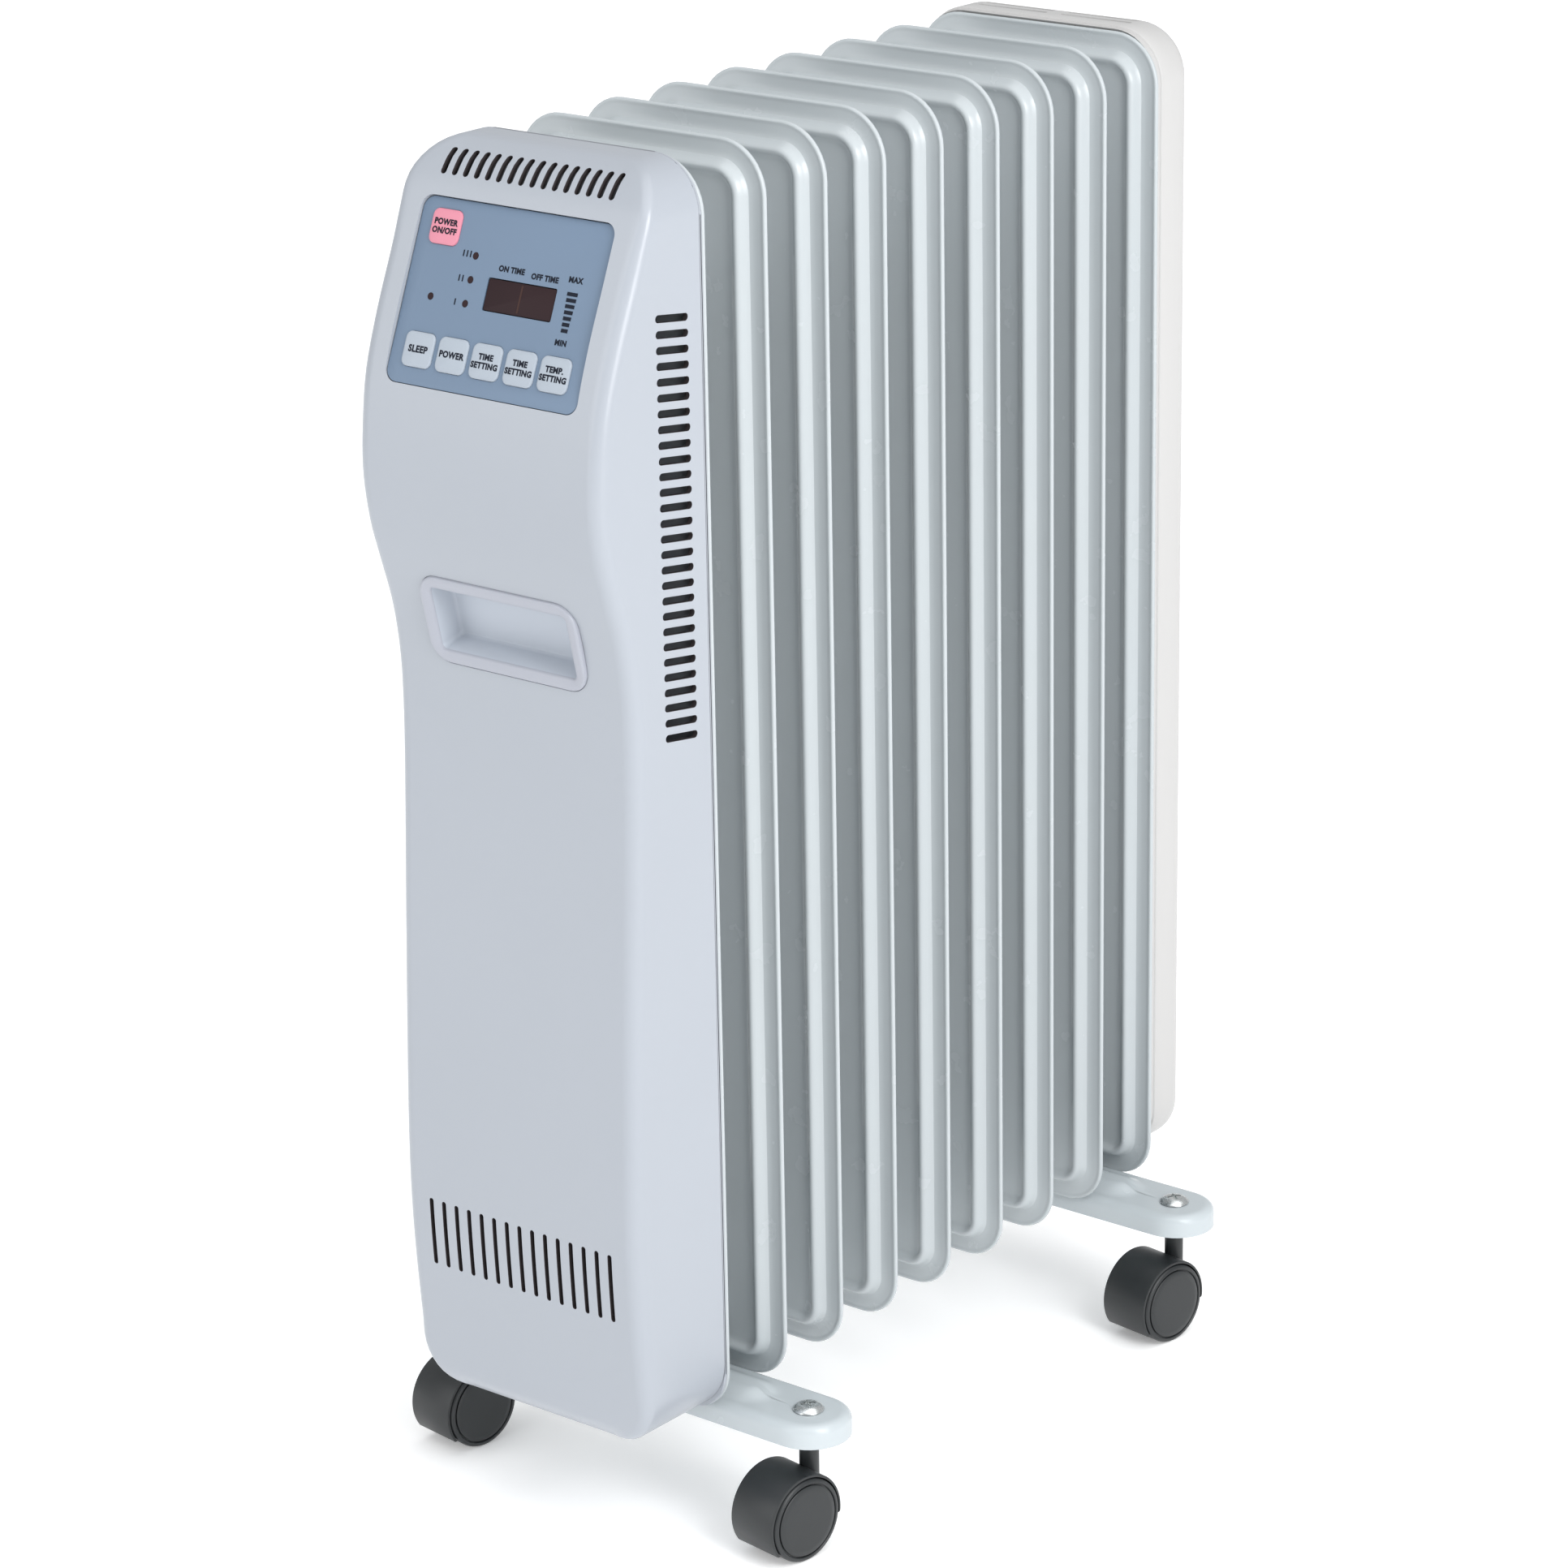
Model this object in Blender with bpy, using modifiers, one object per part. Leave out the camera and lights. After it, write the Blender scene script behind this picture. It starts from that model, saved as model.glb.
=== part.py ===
"""Oil filled radiator heater: nine welded fins, a control housing at the front, an end cover at the
back, two pressed foot bars on four swivelling twin-wheel casters.

Metres, +Z up. X is the width, the control panel faces -Y, the floor is z = 0 and the origin is the
middle of the footprint. Heights named *_Z below are above the floor unless they say otherwise.
"""

import math

import bmesh
import bpy
from mathutils import Matrix, Vector

# ---------------------------------------------------------------- driving sizes
GAP = 0.0003
FIN_COUNT = 9
FIN_PITCH = 0.0418
FIN_WIDTH, FIN_HEIGHT = 0.139, 0.580
FIN_TOP_R, FIN_BOTTOM_R = 0.024, 0.021
FIN_LIFT = 0.063  # lowest edge of the fins above the floor
RIM_HALF = 0.0012  # half the thickness of the seam-welded rim
BEAD_HALF = 0.0065  # half the thickness over the raised bead
WELL_HALF = 0.0040  # half the thickness of the pressed middle
DUCT_R, BORE_R = 0.020, 0.014
DUCT_LOW, DUCT_HIGH = 0.050, 0.530  # duct centres above the fins' lowest edge

LENGTH = 0.4355  # front of the housing to back of the rear cover
FRONT_Y = -LENGTH / 2
FIN1_Y = FRONT_Y + 0.0722
HOUSING_HEIGHT = 0.581
WALL = 0.0025
COVER_REAR_Y = FIN1_Y - 0.0032
COVER_BOTTOM_R = 0.0265

PANEL_TILT = math.radians(67.67)  # from face-up to the slope of the control panel
PANEL_CENTRE = Vector((0, FRONT_Y + 0.0195, FIN_LIFT + 0.5192))
PANEL_W, PANEL_H, PANEL_R = 0.109, 0.0822, 0.006
KEY_W, KEY_H, KEY_R = 0.0166, 0.0154, 0.0032
KEY_PITCH, KEY_ROW = 0.01925, -0.0256  # each key goes in 0.8 mm

GRIP_TILT = math.radians(103)
GRIP_CENTRE = Vector((0, FRONT_Y + 0.0141, FIN_LIFT + 0.3745))

FOOT_HALF_LENGTH, FOOT_HALF_WIDTH = 0.1185, 0.0192
CASTER_X = 0.0985
CASTER_TURN = math.radians(-8)  # how the four casters stand
TRAIL = 0.015
WHEEL_R = 0.020
HOOD_R = 0.0218


def fin_y(number):
    return FIN1_Y + (number - 1) * FIN_PITCH


FOOT_Y = (fin_y(1) + FIN_PITCH / 2, fin_y(8) + FIN_PITCH / 2)

# ---------------------------------------------------------------- scene and materials
for old in list(bpy.data.objects):
    bpy.data.objects.remove(old, do_unlink=True)

parts = bpy.data.collections.new("oil_filled_radiator")
cutters = bpy.data.collections.new("cutters")
for group in (parts, cutters):
    bpy.context.scene.collection.children.link(group)
cutters.hide_render = True


def material(name, colour, roughness, metallic=0.0):
    made = bpy.data.materials.new(name)
    made.use_nodes = True
    shader = made.node_tree.nodes["Principled BSDF"]
    shader.inputs["Base Color"].default_value = (*colour, 1)
    shader.inputs["Roughness"].default_value = roughness
    shader.inputs["Metallic"].default_value = metallic
    return made


FIN_PAINT = material("fin_paint", (0.40, 0.44, 0.46), 0.35)
HOUSING = material("housing_plastic", (0.42, 0.45, 0.50), 0.4)
COVER_PLASTIC = material("rear_cover_plastic", (0.56, 0.56, 0.55), 0.4)
PANEL_BLUE = material("panel_film", (0.16, 0.23, 0.32), 0.45)
KEY_PALE = material("key_pale", (0.40, 0.45, 0.50), 0.45)
KEY_PINK = material("key_pink", (0.86, 0.3, 0.4), 0.45)
DISPLAY = material("display_window", (0.02, 0.012, 0.01), 0.1)
BOARD = material("circuit_board", (0.03, 0.16, 0.06), 0.5)
BLACK = material("black_plastic", (0.02, 0.022, 0.022), 0.5)
GRIP = material("grip_plastic", (0.52, 0.56, 0.63), 0.45)
STEEL = material("zinc_plated_steel", (0.6, 0.62, 0.62), 0.35, 1.0)
HEATER = material("heater_tube", (0.35, 0.33, 0.3), 0.4, 1.0)
BRASS = material("brass", (0.7, 0.5, 0.22), 0.35, 1.0)

# ---------------------------------------------------------------- modelling helpers
TURN = {
    "X": Matrix(((0, 0, 1), (1, 0, 0), (0, 1, 0))).to_4x4(),
    "Y": Matrix.Rotation(math.radians(90), 4, "X"),
    "Z": Matrix.Identity(4),
}
ALONG = {"X": Vector((1, 0, 0)), "Y": Vector((0, 1, 0)), "Z": Vector((0, 0, 1))}


def place(mesh, name="tool"):
    made = bpy.data.objects.new(name, mesh)
    cutters.objects.link(made)
    made.display_type = "WIRE"
    made.hide_render = True
    return made


def baked(obj):
    """The object with its modifiers applied, as a new mesh object."""
    graph = bpy.context.evaluated_depsgraph_get()
    mesh = bpy.data.meshes.new_from_object(obj.evaluated_get(graph))
    mesh.transform(obj.matrix_world)
    bpy.data.objects.remove(obj, do_unlink=True)
    work = bmesh.new()
    work.from_mesh(mesh)
    bmesh.ops.remove_doubles(work, verts=work.verts, dist=1e-6)
    bmesh.ops.recalc_face_normals(work, faces=work.faces)
    work.to_mesh(mesh)
    work.free()
    return place(mesh)


def prism(outlines, axis, low, high):
    """Flat outlines, the first with the rest as holes, extruded along an axis from low to high.
    An outline is in (y, z) for X, (x, z) for Y and (x, y) for Z."""
    if not isinstance(outlines[0][0], (tuple, list)):
        outlines = [outlines]
    curve = bpy.data.curves.new("outline", "CURVE")
    curve.dimensions = "2D"
    curve.fill_mode = "BOTH"
    curve.extrude = (high - low) / 2
    for outline in outlines:
        spline = curve.splines.new("POLY")
        spline.points.add(len(outline) - 1)
        for point, (a, b) in zip(spline.points, outline):
            point.co = (a, b, 0, 1)
        spline.use_cyclic_u = True
    made = bpy.data.objects.new("outline", curve)
    cutters.objects.link(made)
    bpy.context.view_layer.update()
    made = baked(made)
    made.data.transform(TURN[axis])
    made.data.transform(Matrix.Translation(ALONG[axis] * (low + high) / 2))
    return made


def cylinder(radius, axis, low, high, at=(0, 0, 0), segments=20):
    work = bmesh.new()
    bmesh.ops.create_cone(
        work, cap_ends=True, segments=segments, radius1=radius, radius2=radius, depth=high - low
    )
    mesh = bpy.data.meshes.new("cylinder")
    work.to_mesh(mesh)
    work.free()
    mesh.transform(TURN[axis])
    mesh.transform(Matrix.Translation(Vector(at) + ALONG[axis] * (low + high) / 2))
    return place(mesh)


def box(low, high):
    low, high = Vector(low), Vector(high)
    work = bmesh.new()
    bmesh.ops.create_cube(work, size=1)
    mesh = bpy.data.meshes.new("box")
    work.to_mesh(mesh)
    work.free()
    size = high - low
    mesh.transform(Matrix.Translation((low + high) / 2) @ Matrix.Diagonal((*size, 1)))
    return place(mesh)


def turned(profile, steps=16):
    """A profile of (radius, height) points, from the top down its outer side, turned about Z."""
    mesh = bpy.data.meshes.new("profile")
    mesh.from_pydata([(r, 0, h) for r, h in profile], [(i, i + 1) for i in range(len(profile) - 1)], [])
    made = place(mesh)
    screw = made.modifiers.new("turn", "SCREW")
    screw.steps = screw.render_steps = steps
    screw.use_merge_vertices = True
    screw.merge_threshold = 1e-6
    bpy.context.view_layer.update()
    return baked(made)


def wire(points, radius, resolution=1):
    """A round bar along a list of points."""
    curve = bpy.data.curves.new("wire", "CURVE")
    curve.dimensions = "3D"
    curve.bevel_depth = radius
    curve.bevel_resolution = resolution
    curve.use_fill_caps = True
    spline = curve.splines.new("POLY")
    spline.points.add(len(points) - 1)
    for point, co in zip(spline.points, points):
        point.co = (*co, 1)
    made = bpy.data.objects.new("wire", curve)
    cutters.objects.link(made)
    bpy.context.view_layer.update()
    return baked(made)


def boolean(target, tool, operation):
    change = target.modifiers.new(operation.lower(), "BOOLEAN")
    change.operation = operation
    change.object = tool
    bpy.context.view_layer.update()
    result = baked(target)
    bpy.data.objects.remove(tool, do_unlink=True)
    return result


def joined(first, *others):
    for other in others:
        first = boolean(first, other, "UNION")
    return first


def less(first, *others):
    for other in others:
        first = boolean(first, other, "DIFFERENCE")
    return first


def copies(tool, offsets):
    """One tool holding a separate copy of the shape at each offset."""
    work = bmesh.new()
    for offset in offsets:
        mesh = tool.data.copy()
        mesh.transform(Matrix.Translation(offset))
        work.from_mesh(mesh)
        bpy.data.meshes.remove(mesh)
    mesh = bpy.data.meshes.new("copies")
    work.to_mesh(mesh)
    work.free()
    bpy.data.objects.remove(tool, do_unlink=True)
    return place(mesh)


def bevelled(obj, width, segments=1, angle=40):
    bevel = obj.modifiers.new("bevel", "BEVEL")
    bevel.width = width
    bevel.segments = segments
    bevel.limit_method = "ANGLE"
    bevel.angle_limit = math.radians(angle)
    bpy.context.view_layer.update()
    return baked(obj)


def soften(obj, width, keep, segments=1):
    """Rounds only the edges whose two ends pass the test keep(point)."""
    work = bmesh.new()
    work.from_mesh(obj.data)
    bmesh.ops.dissolve_limit(
        work, angle_limit=math.radians(1), verts=work.verts[:], edges=work.edges[:]
    )
    edges = [e for e in work.edges if keep(e.verts[0].co) and keep(e.verts[1].co)]
    bmesh.ops.bevel(work, geom=edges, offset=width, segments=segments, profile=0.5, affect="EDGES")
    work.to_mesh(obj.data)
    work.free()
    return obj


def moved(obj, matrix):
    obj.data.transform(matrix)
    return obj


def part(name, obj, stuff, origin=(0, 0, 0), turn=None, parent=None):
    """Makes a finished shape, modelled about its own origin, one named sub-part."""
    cutters.objects.unlink(obj)
    parts.objects.link(obj)
    obj.hide_render = False
    obj.display_type = "TEXTURED"
    obj.name = obj.data.name = name
    obj.data.materials.clear()
    obj.data.materials.append(stuff)
    obj.data.shade_smooth()
    obj.data.set_sharp_from_angle(angle=math.radians(35))
    obj.location = origin
    if turn is not None:
        obj.rotation_euler = turn
    if parent is not None:
        obj.parent = parent
    return obj


def copy_of(first, name, origin, parent=None):
    made = bpy.data.objects.new(name, first.data)
    parts.objects.link(made)
    made.location = origin
    made.rotation_euler = first.rotation_euler
    if parent is not None:
        made.parent = parent
    return made


def rounded(width, bottom, top, r_top, r_bottom=None, steps=3, centre=0.0):
    """A rounded rectangle, anticlockwise, with equal corners at the top and at the bottom."""
    r_bottom = r_top if r_bottom is None else r_bottom
    points = []
    for sx, corner, radius, start in (
        (1, bottom, r_bottom, -90),
        (1, top, r_top, 0),
        (-1, top, r_top, 90),
        (-1, bottom, r_bottom, 180),
    ):
        cx = sx * (width / 2 - radius) + centre
        cz = corner + radius if corner == bottom else corner - radius
        for i in range(steps + 1):
            a = math.radians(start + 90 * i / steps)
            points.append((cx + radius * math.cos(a), cz + radius * math.sin(a)))
    return points


def offset_line(points, distance):
    """The line moved sideways to its right by a distance."""
    result = []
    for i, (a, b) in enumerate(points):
        before, after = points[max(i - 1, 0)], points[min(i + 1, len(points) - 1)]
        along = Vector((after[0] - before[0], after[1] - before[1])).normalized()
        result.append((a + along.y * distance, b - along.x * distance))
    return result


# ---------------------------------------------------------------- fins
Z0 = FIN_LIFT  # local heights in a fin start at its lowest edge


def fin_outline(inset, r_top=None, r_bottom=None, steps=3):
    return rounded(
        FIN_WIDTH - 2 * inset,
        inset,
        FIN_HEIGHT - inset,
        r_top if r_top is not None else FIN_TOP_R - inset,
        r_bottom if r_bottom is not None else FIN_BOTTOM_R - inset,
        steps,
    )


def fin_body(front, back):
    """A pressed fin with duct collars that reach front and back of its middle plane."""
    body = prism(fin_outline(0.007), "Y", -BEAD_HALF, BEAD_HALF)
    body = bevelled(body, 0.003)
    body = joined(body, prism(fin_outline(0), "Y", -RIM_HALF, RIM_HALF))
    well = fin_outline(0.019, 0.007, 0.007, steps=1)
    body = less(
        body, prism(well, "Y", WELL_HALF, 0.010), prism(well, "Y", -0.010, -WELL_HALF)
    )
    for height in (DUCT_LOW, DUCT_HIGH):
        body = joined(body, cylinder(DUCT_R, "Y", front, back, (0, 0, height), 12))
    return body


collar = FIN_PITCH / 2 - GAP / 2
middle = less(fin_body(-collar, collar), cylinder(BORE_R, "Y", -0.03, 0.03, (0, 0, DUCT_LOW), 12))
first_fin = less(
    fin_body(-0.0079, collar),
    cylinder(BORE_R, "Y", -0.03, 0.03, (0, 0, DUCT_LOW), 12),
    cylinder(0.0063, "Y", -0.010, 0.004, (0, 0, DUCT_HIGH), 12),
)
last_fin = less(
    fin_body(-collar, 0.0132),
    cylinder(BORE_R, "Y", -0.03, 0.004, (0, 0, DUCT_LOW), 12),
    cylinder(0.0024, "Y", 0.005, 0.02, (0, 0, DUCT_LOW), 10),
    cylinder(0.0024, "Y", 0.005, 0.02, (0, 0, DUCT_HIGH), 10),
)
part("fin_1", first_fin, FIN_PAINT, (0, fin_y(1), Z0))
part("fin_2", middle, FIN_PAINT, (0, fin_y(2), Z0))
for number in range(3, FIN_COUNT):
    copy_of(middle, f"fin_{number}", (0, fin_y(number), Z0))
part("fin_9", last_fin, FIN_PAINT, (0, fin_y(9), Z0))

# ---------------------------------------------------------------- heating element and oil plug
TRAY_Y = COVER_REAR_Y - 0.007  # front face of the housing's back tray
rod_end = fin_y(9) - 0.012
rod = [(-0.0065, TRAY_Y - 0.003, 0), (-0.0065, rod_end, 0)]
rod += [
    (-0.0065 * math.cos(math.radians(a)), rod_end + 0.0065 * math.sin(math.radians(a)), 0)
    for a in (45, 90, 135)
]
rod += [(0.0065, rod_end, 0), (0.0065, TRAY_Y - 0.003, 0)]
element = joined(
    cylinder(BORE_R - GAP, "Y", TRAY_Y - 0.002, fin_y(1) + 0.002, segments=12),
    cylinder(0.020, "Y", TRAY_Y - 0.0065, TRAY_Y - GAP, segments=6),
    wire(rod, 0.0038),
    box((-0.010, TRAY_Y - 0.017, -0.003), (-0.0092, TRAY_Y - 0.006, 0.003)),
    box((0.0092, TRAY_Y - 0.017, -0.003), (0.010, TRAY_Y - 0.006, 0.003)),
)
part("heating_element", element, HEATER, (0, 0, Z0 + DUCT_LOW))

plug = joined(
    cylinder(0.0060, "Y", TRAY_Y - 0.001, fin_y(1) + 0.003, segments=12),
    cylinder(0.011, "Y", TRAY_Y - 0.006, TRAY_Y - GAP, segments=6),
)
part("oil_fill_plug", plug, BRASS, (0, 0, Z0 + DUCT_HIGH))

# ---------------------------------------------------------------- housing: back tray
def housing_outline(inset, r_bottom=COVER_BOTTOM_R):
    return rounded(
        FIN_WIDTH - 2 * inset, inset, HOUSING_HEIGHT - inset, FIN_TOP_R - inset, r_bottom - inset
    )


tray = joined(
    prism(housing_outline(WALL + GAP), "Y", TRAY_Y, TRAY_Y + 0.002),
    prism(
        [housing_outline(WALL + GAP), housing_outline(0.0044)],
        "Y", TRAY_Y + 0.001, COVER_REAR_Y + 0.001,
    ),
    prism(
        [housing_outline(0, FIN_BOTTOM_R), housing_outline(0.0044)],
        "Y", COVER_REAR_Y + GAP, COVER_REAR_Y + 0.0017,
    ),
)
PIVOT_Y, PIVOT_Z = TRAY_Y - 0.019, 0.075
for x in (-0.036, -0.027):
    tray = joined(
        tray, box((x, TRAY_Y - 0.023, PIVOT_Z - 0.004), (x + 0.002, TRAY_Y + 0.001, PIVOT_Z + 0.004))
    )
tray = less(
    tray,
    cylinder(BORE_R + GAP, "Y", TRAY_Y - 0.01, TRAY_Y + 0.01, (0, 0, DUCT_LOW), 12),
    cylinder(0.0064, "Y", TRAY_Y - 0.01, TRAY_Y + 0.01, (0, 0, DUCT_HIGH), 12),
    cylinder(0.0018, "X", -0.04, -0.02, (0, PIVOT_Y, PIVOT_Z), 10),
)
part("housing_back_tray", tray, HOUSING, (0, 0, Z0))

pendulum = joined(
    cylinder(0.0015, "X", -0.0056, 0.0056, segments=8),
    box((-0.003, -0.0025, -0.026), (0.003, 0.0025, 0.0025)),
    cylinder(0.006, "X", -0.005, 0.005, (0, 0, -0.030), 12),
)
part("tip_over_pendulum", pendulum, BRASS, (-0.0305, PIVOT_Y, Z0 + PIVOT_Z))

terminals = less(
    box((0.018, TRAY_Y - 0.014, 0.100), (0.052, TRAY_Y - GAP, 0.118)),
    copies(cylinder(0.0026, "Y", -0.015, -0.006, (0.027, TRAY_Y, 0.109), 8),
           [(0.008 * i, 0, 0) for i in range(3)]),
)
part("terminal_block", terminals, KEY_PALE, (0, 0, Z0))

cutout = joined(
    cylinder(0.008, "Y", TRAY_Y - 0.008, TRAY_Y - 0.0015, segments=16),
    prism(rounded(0.034, -0.005, 0.005, 0.004, steps=2), "Y", TRAY_Y - 0.002, TRAY_Y - GAP),
)
part("overheat_cutout", cutout, STEEL, (0.030, 0, Z0 + 0.470))

# ---------------------------------------------------------------- housing: front cover
# The front line in (y, z): y from the front-most point of the housing, z above the fins' lowest edge.
FRONT_LINE = [
    (0.026, 0.0), (0.0195, 0.0035), (0.0165, 0.012), (0.0150, 0.030), (0.0118, 0.070),
    (0.0106, 0.105), (0.0115, 0.150), (0.0150, 0.230), (0.0184, 0.300), (0.0192, 0.335),
    (0.0182, 0.356), (0.0148, 0.377), (0.0085, 0.398), (0.0030, 0.417), (0.0, 0.440),
    (0.0014, 0.463), (0.0048, 0.484), (0.0130, 0.508), (0.0236, 0.533), (0.0342, 0.558),
    (0.0390, 0.567), (0.0450, 0.5742), (0.0505, 0.5785), (0.0550, 0.5804), (0.0590, 0.581),
]
front_line = [(FRONT_Y + y, z) for y, z in FRONT_LINE]
solid_line = [(COVER_REAR_Y + 0.03, 0.0), *front_line, (COVER_REAR_Y + 0.03, HOUSING_HEIGHT)]
inner_line = [p for p in offset_line(front_line, WALL) if WALL < p[1] < HOUSING_HEIGHT - WALL]
hollow_line = [
    (COVER_REAR_Y + 0.03, WALL), (inner_line[0][0] + 0.004, WALL), *inner_line,
    (inner_line[-1][0] + 0.004, HOUSING_HEIGHT - WALL), (COVER_REAR_Y + 0.03, HOUSING_HEIGHT - WALL),
]
cover = prism(solid_line, "X", -0.08, 0.08)
cover = boolean(
    cover, prism(housing_outline(0), "Y", FRONT_Y - 0.02, COVER_REAR_Y), "INTERSECT"
)
hollow = prism(hollow_line, "X", -0.09, 0.09)
hollow = boolean(
    hollow, prism(housing_outline(WALL), "Y", FRONT_Y - 0.03, COVER_REAR_Y + 0.01), "INTERSECT"
)
cover = less(cover, hollow)

panel_frame = Matrix.Translation(PANEL_CENTRE - Vector((0, 0, Z0))) @ Matrix.Rotation(
    PANEL_TILT, 4, "X"
)
grip_frame = Matrix.Translation(GRIP_CENTRE - Vector((0, 0, Z0))) @ Matrix.Rotation(
    GRIP_TILT, 4, "X"
)
panel_hole = prism(rounded(PANEL_W, -PANEL_H / 2, PANEL_H / 2, PANEL_R), "Z", -0.008, 0.02)
grip_seat = prism(rounded(0.0906, -0.0216, 0.0216, 0.0109, steps=4), "Z", -0.0016, 0.02)
grip_hole = prism(rounded(0.0826, -0.0170, 0.0170, 0.0053), "Z", -0.012, 0.02)
cover = less(
    cover,
    moved(panel_hole, panel_frame), moved(grip_seat, grip_frame), moved(grip_hole, grip_frame),
)


def slot(width, height):
    """A straight slot's outline."""
    x, y = width / 2, height / 2
    return [(-x, -y), (x, -y), (x, y), (-x, y)]


low_slots = copies(
    moved(prism(slot(0.0024, 0.0330), "Y", FRONT_Y - 0.01, FRONT_Y + 0.03),
          Matrix.Translation((0, 0, 0.0805))),
    [(0.0076 * (i - 7), 0, 0) for i in range(15)],
)
SLOT_TILT = math.radians(-8)  # the side slots fall slightly towards the back
side_slots = copies(
    moved(prism(slot(0.0214, 0.0034), "X", -0.08, 0.08),
          Matrix.Translation((0, COVER_REAR_Y - 0.0193, 0.3315))
          @ Matrix.Rotation(SLOT_TILT, 4, "X")),
    [(0, 0, 0.00685 * i) for i in range(28)],
)
top_slots = copies(
    moved(prism(slot(0.0031, 0.0135), "Z", -0.006, 0.010),
          Matrix.Translation((0, FRONT_Y + 0.0427, 0.5712))
          @ Matrix.Rotation(math.radians(52), 4, "X")),
    [(0.0063 * (i - 7.5), 0, 0) for i in range(16)],
)
GLAND_Y, GLAND_Z = COVER_REAR_Y - 0.020, 0.045
cover = less(
    cover, low_slots, side_slots, top_slots,
    cylinder(0.0073, "X", -0.08, -0.06, (0, GLAND_Y, GLAND_Z), 12),
)
part("housing_front_cover", cover, HOUSING, (0, 0, Z0))

gland = turned(
    [(0.0040, 0.0060), (0.0085, 0.0050), (0.0095, 0.0003), (0.0069, 0.0003), (0.0069, -0.0028),
     (0.0084, -0.0028), (0.0078, -0.0070), (0.0040, -0.0070), (0.0040, 0.0060)], 12
)
part("cord_gland", gland, BLACK, (-FIN_WIDTH / 2, GLAND_Y, Z0 + GLAND_Z), (0, math.radians(-90), 0))

# ---------------------------------------------------------------- control panel
def panel_empty(name, x, y):
    """A point on the panel's face, with its own Z along the panel's outward normal."""
    empty = bpy.data.objects.new(name, None)
    parts.objects.link(empty)
    empty.matrix_world = (
        Matrix.Translation(PANEL_CENTRE) @ Matrix.Rotation(PANEL_TILT, 4, "X")
        @ Matrix.Translation((x, y, 0))
    )
    return empty


panel_origin = panel_empty("control_panel_frame", 0, 0)
DISPLAY_AT, DISPLAY_W, DISPLAY_H = (0.0102, 0.0030), 0.0382, 0.0139
LEVEL_BAR_AT = (0.0382, 0.0012)
LIGHTS = ((-0.0189, 0.0181), (-0.0189, 0.0077), (-0.0189, -0.0027), (-0.0389, -0.0021))
KEYS = {
    "power_key": (-0.0387, 0.0282), "sleep_key": (-2 * KEY_PITCH, KEY_ROW),
    "power_level_key": (-KEY_PITCH, KEY_ROW), "on_time_key": (0.0, KEY_ROW),
    "off_time_key": (KEY_PITCH, KEY_ROW), "temperature_key": (2 * KEY_PITCH, KEY_ROW),
}


def key_outline(grow, at=(0, 0)):
    return [
        (x + at[0], y + at[1])
        for x, y in rounded(
            KEY_W + 2 * grow, -KEY_H / 2 - grow, KEY_H / 2 + grow, KEY_R + grow, steps=2
        )
    ]


def level_bars(low, high, grow):
    """Seven short level marks that widen towards the top."""
    marks = None
    for i in range(7):
        half = 0.0016 + 0.0003 * i + grow
        y = LEVEL_BAR_AT[1] + (i - 3) * 0.0026
        x, tall = LEVEL_BAR_AT[0], 0.0007 + grow
        mark = box((x - half, y - tall, low), (x + half, y + tall, high))
        marks = mark if marks is None else joined(marks, mark)
    return marks


panel = joined(
    prism(rounded(PANEL_W - 2 * GAP, -PANEL_H / 2 + GAP, PANEL_H / 2 - GAP, PANEL_R), "Z", -0.0040, 0),
    prism(rounded(0.1134, -0.0431, 0.0431, 0.006), "Z", -0.0050, -0.0038),
    *[cylinder(0.0022, "Z", -0.0081, -0.0045, (sx * 0.053, sy * 0.0395, 0), 8)
      for sx in (-1, 1) for sy in (-1, 1)],
)
panel = less(
    panel,
    *[prism(key_outline(GAP, at), "Z", -0.01, 0.01) for at in KEYS.values()],
    moved(prism(rounded(DISPLAY_W + 2 * GAP, -DISPLAY_H / 2 - GAP, DISPLAY_H / 2 + GAP, 0.001, steps=1),
                "Z", -0.01, 0.01), Matrix.Translation((*DISPLAY_AT, 0))),
    copies(cylinder(0.0016, "Z", -0.01, 0.01, segments=8), [(x, y, 0) for x, y in LIGHTS]),
    level_bars(-0.01, 0.01, GAP / 2),
)
part("control_panel", panel, PANEL_BLUE, parent=panel_origin)

window = joined(
    prism(rounded(DISPLAY_W, -DISPLAY_H / 2, DISPLAY_H / 2, 0.001, steps=1), "Z", -0.0058, -0.0003),
    prism(rounded(DISPLAY_W + 0.004, -DISPLAY_H / 2 - 0.002, DISPLAY_H / 2 + 0.002, 0.001, steps=1),
          "Z", -0.0071, -0.0053),
)
part("display_window", window, DISPLAY, (*DISPLAY_AT, 0), parent=panel_origin)

light_back = prism(
    [(-0.0412, -0.0045), (-0.0166, -0.0045), (-0.0166, 0.0205), (-0.0212, 0.0205),
     (-0.0212, 0.0004), (-0.0412, 0.0004)], "Z", -0.0068, -0.0053
)
lights = joined(
    light_back, *[cylinder(0.0013, "Z", -0.006, 0.0002, (x, y, 0), 8) for x, y in LIGHTS]
)
part("indicator_light_guide", lights, BLACK, parent=panel_origin)

level = joined(
    box((LEVEL_BAR_AT[0] - 0.004, LEVEL_BAR_AT[1] - 0.0105, -0.0068),
        (LEVEL_BAR_AT[0] + 0.004, LEVEL_BAR_AT[1] + 0.0105, -0.0053)),
    level_bars(-0.006, 0.0001, -GAP / 2),
)
part("level_light_guide", level, BLACK, parent=panel_origin)

board = prism(rounded(0.110, -0.0415, 0.0415, 0.002, steps=1), "Z", -0.0100, -0.0084)
part("control_board", board, BOARD, parent=panel_origin)

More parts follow.
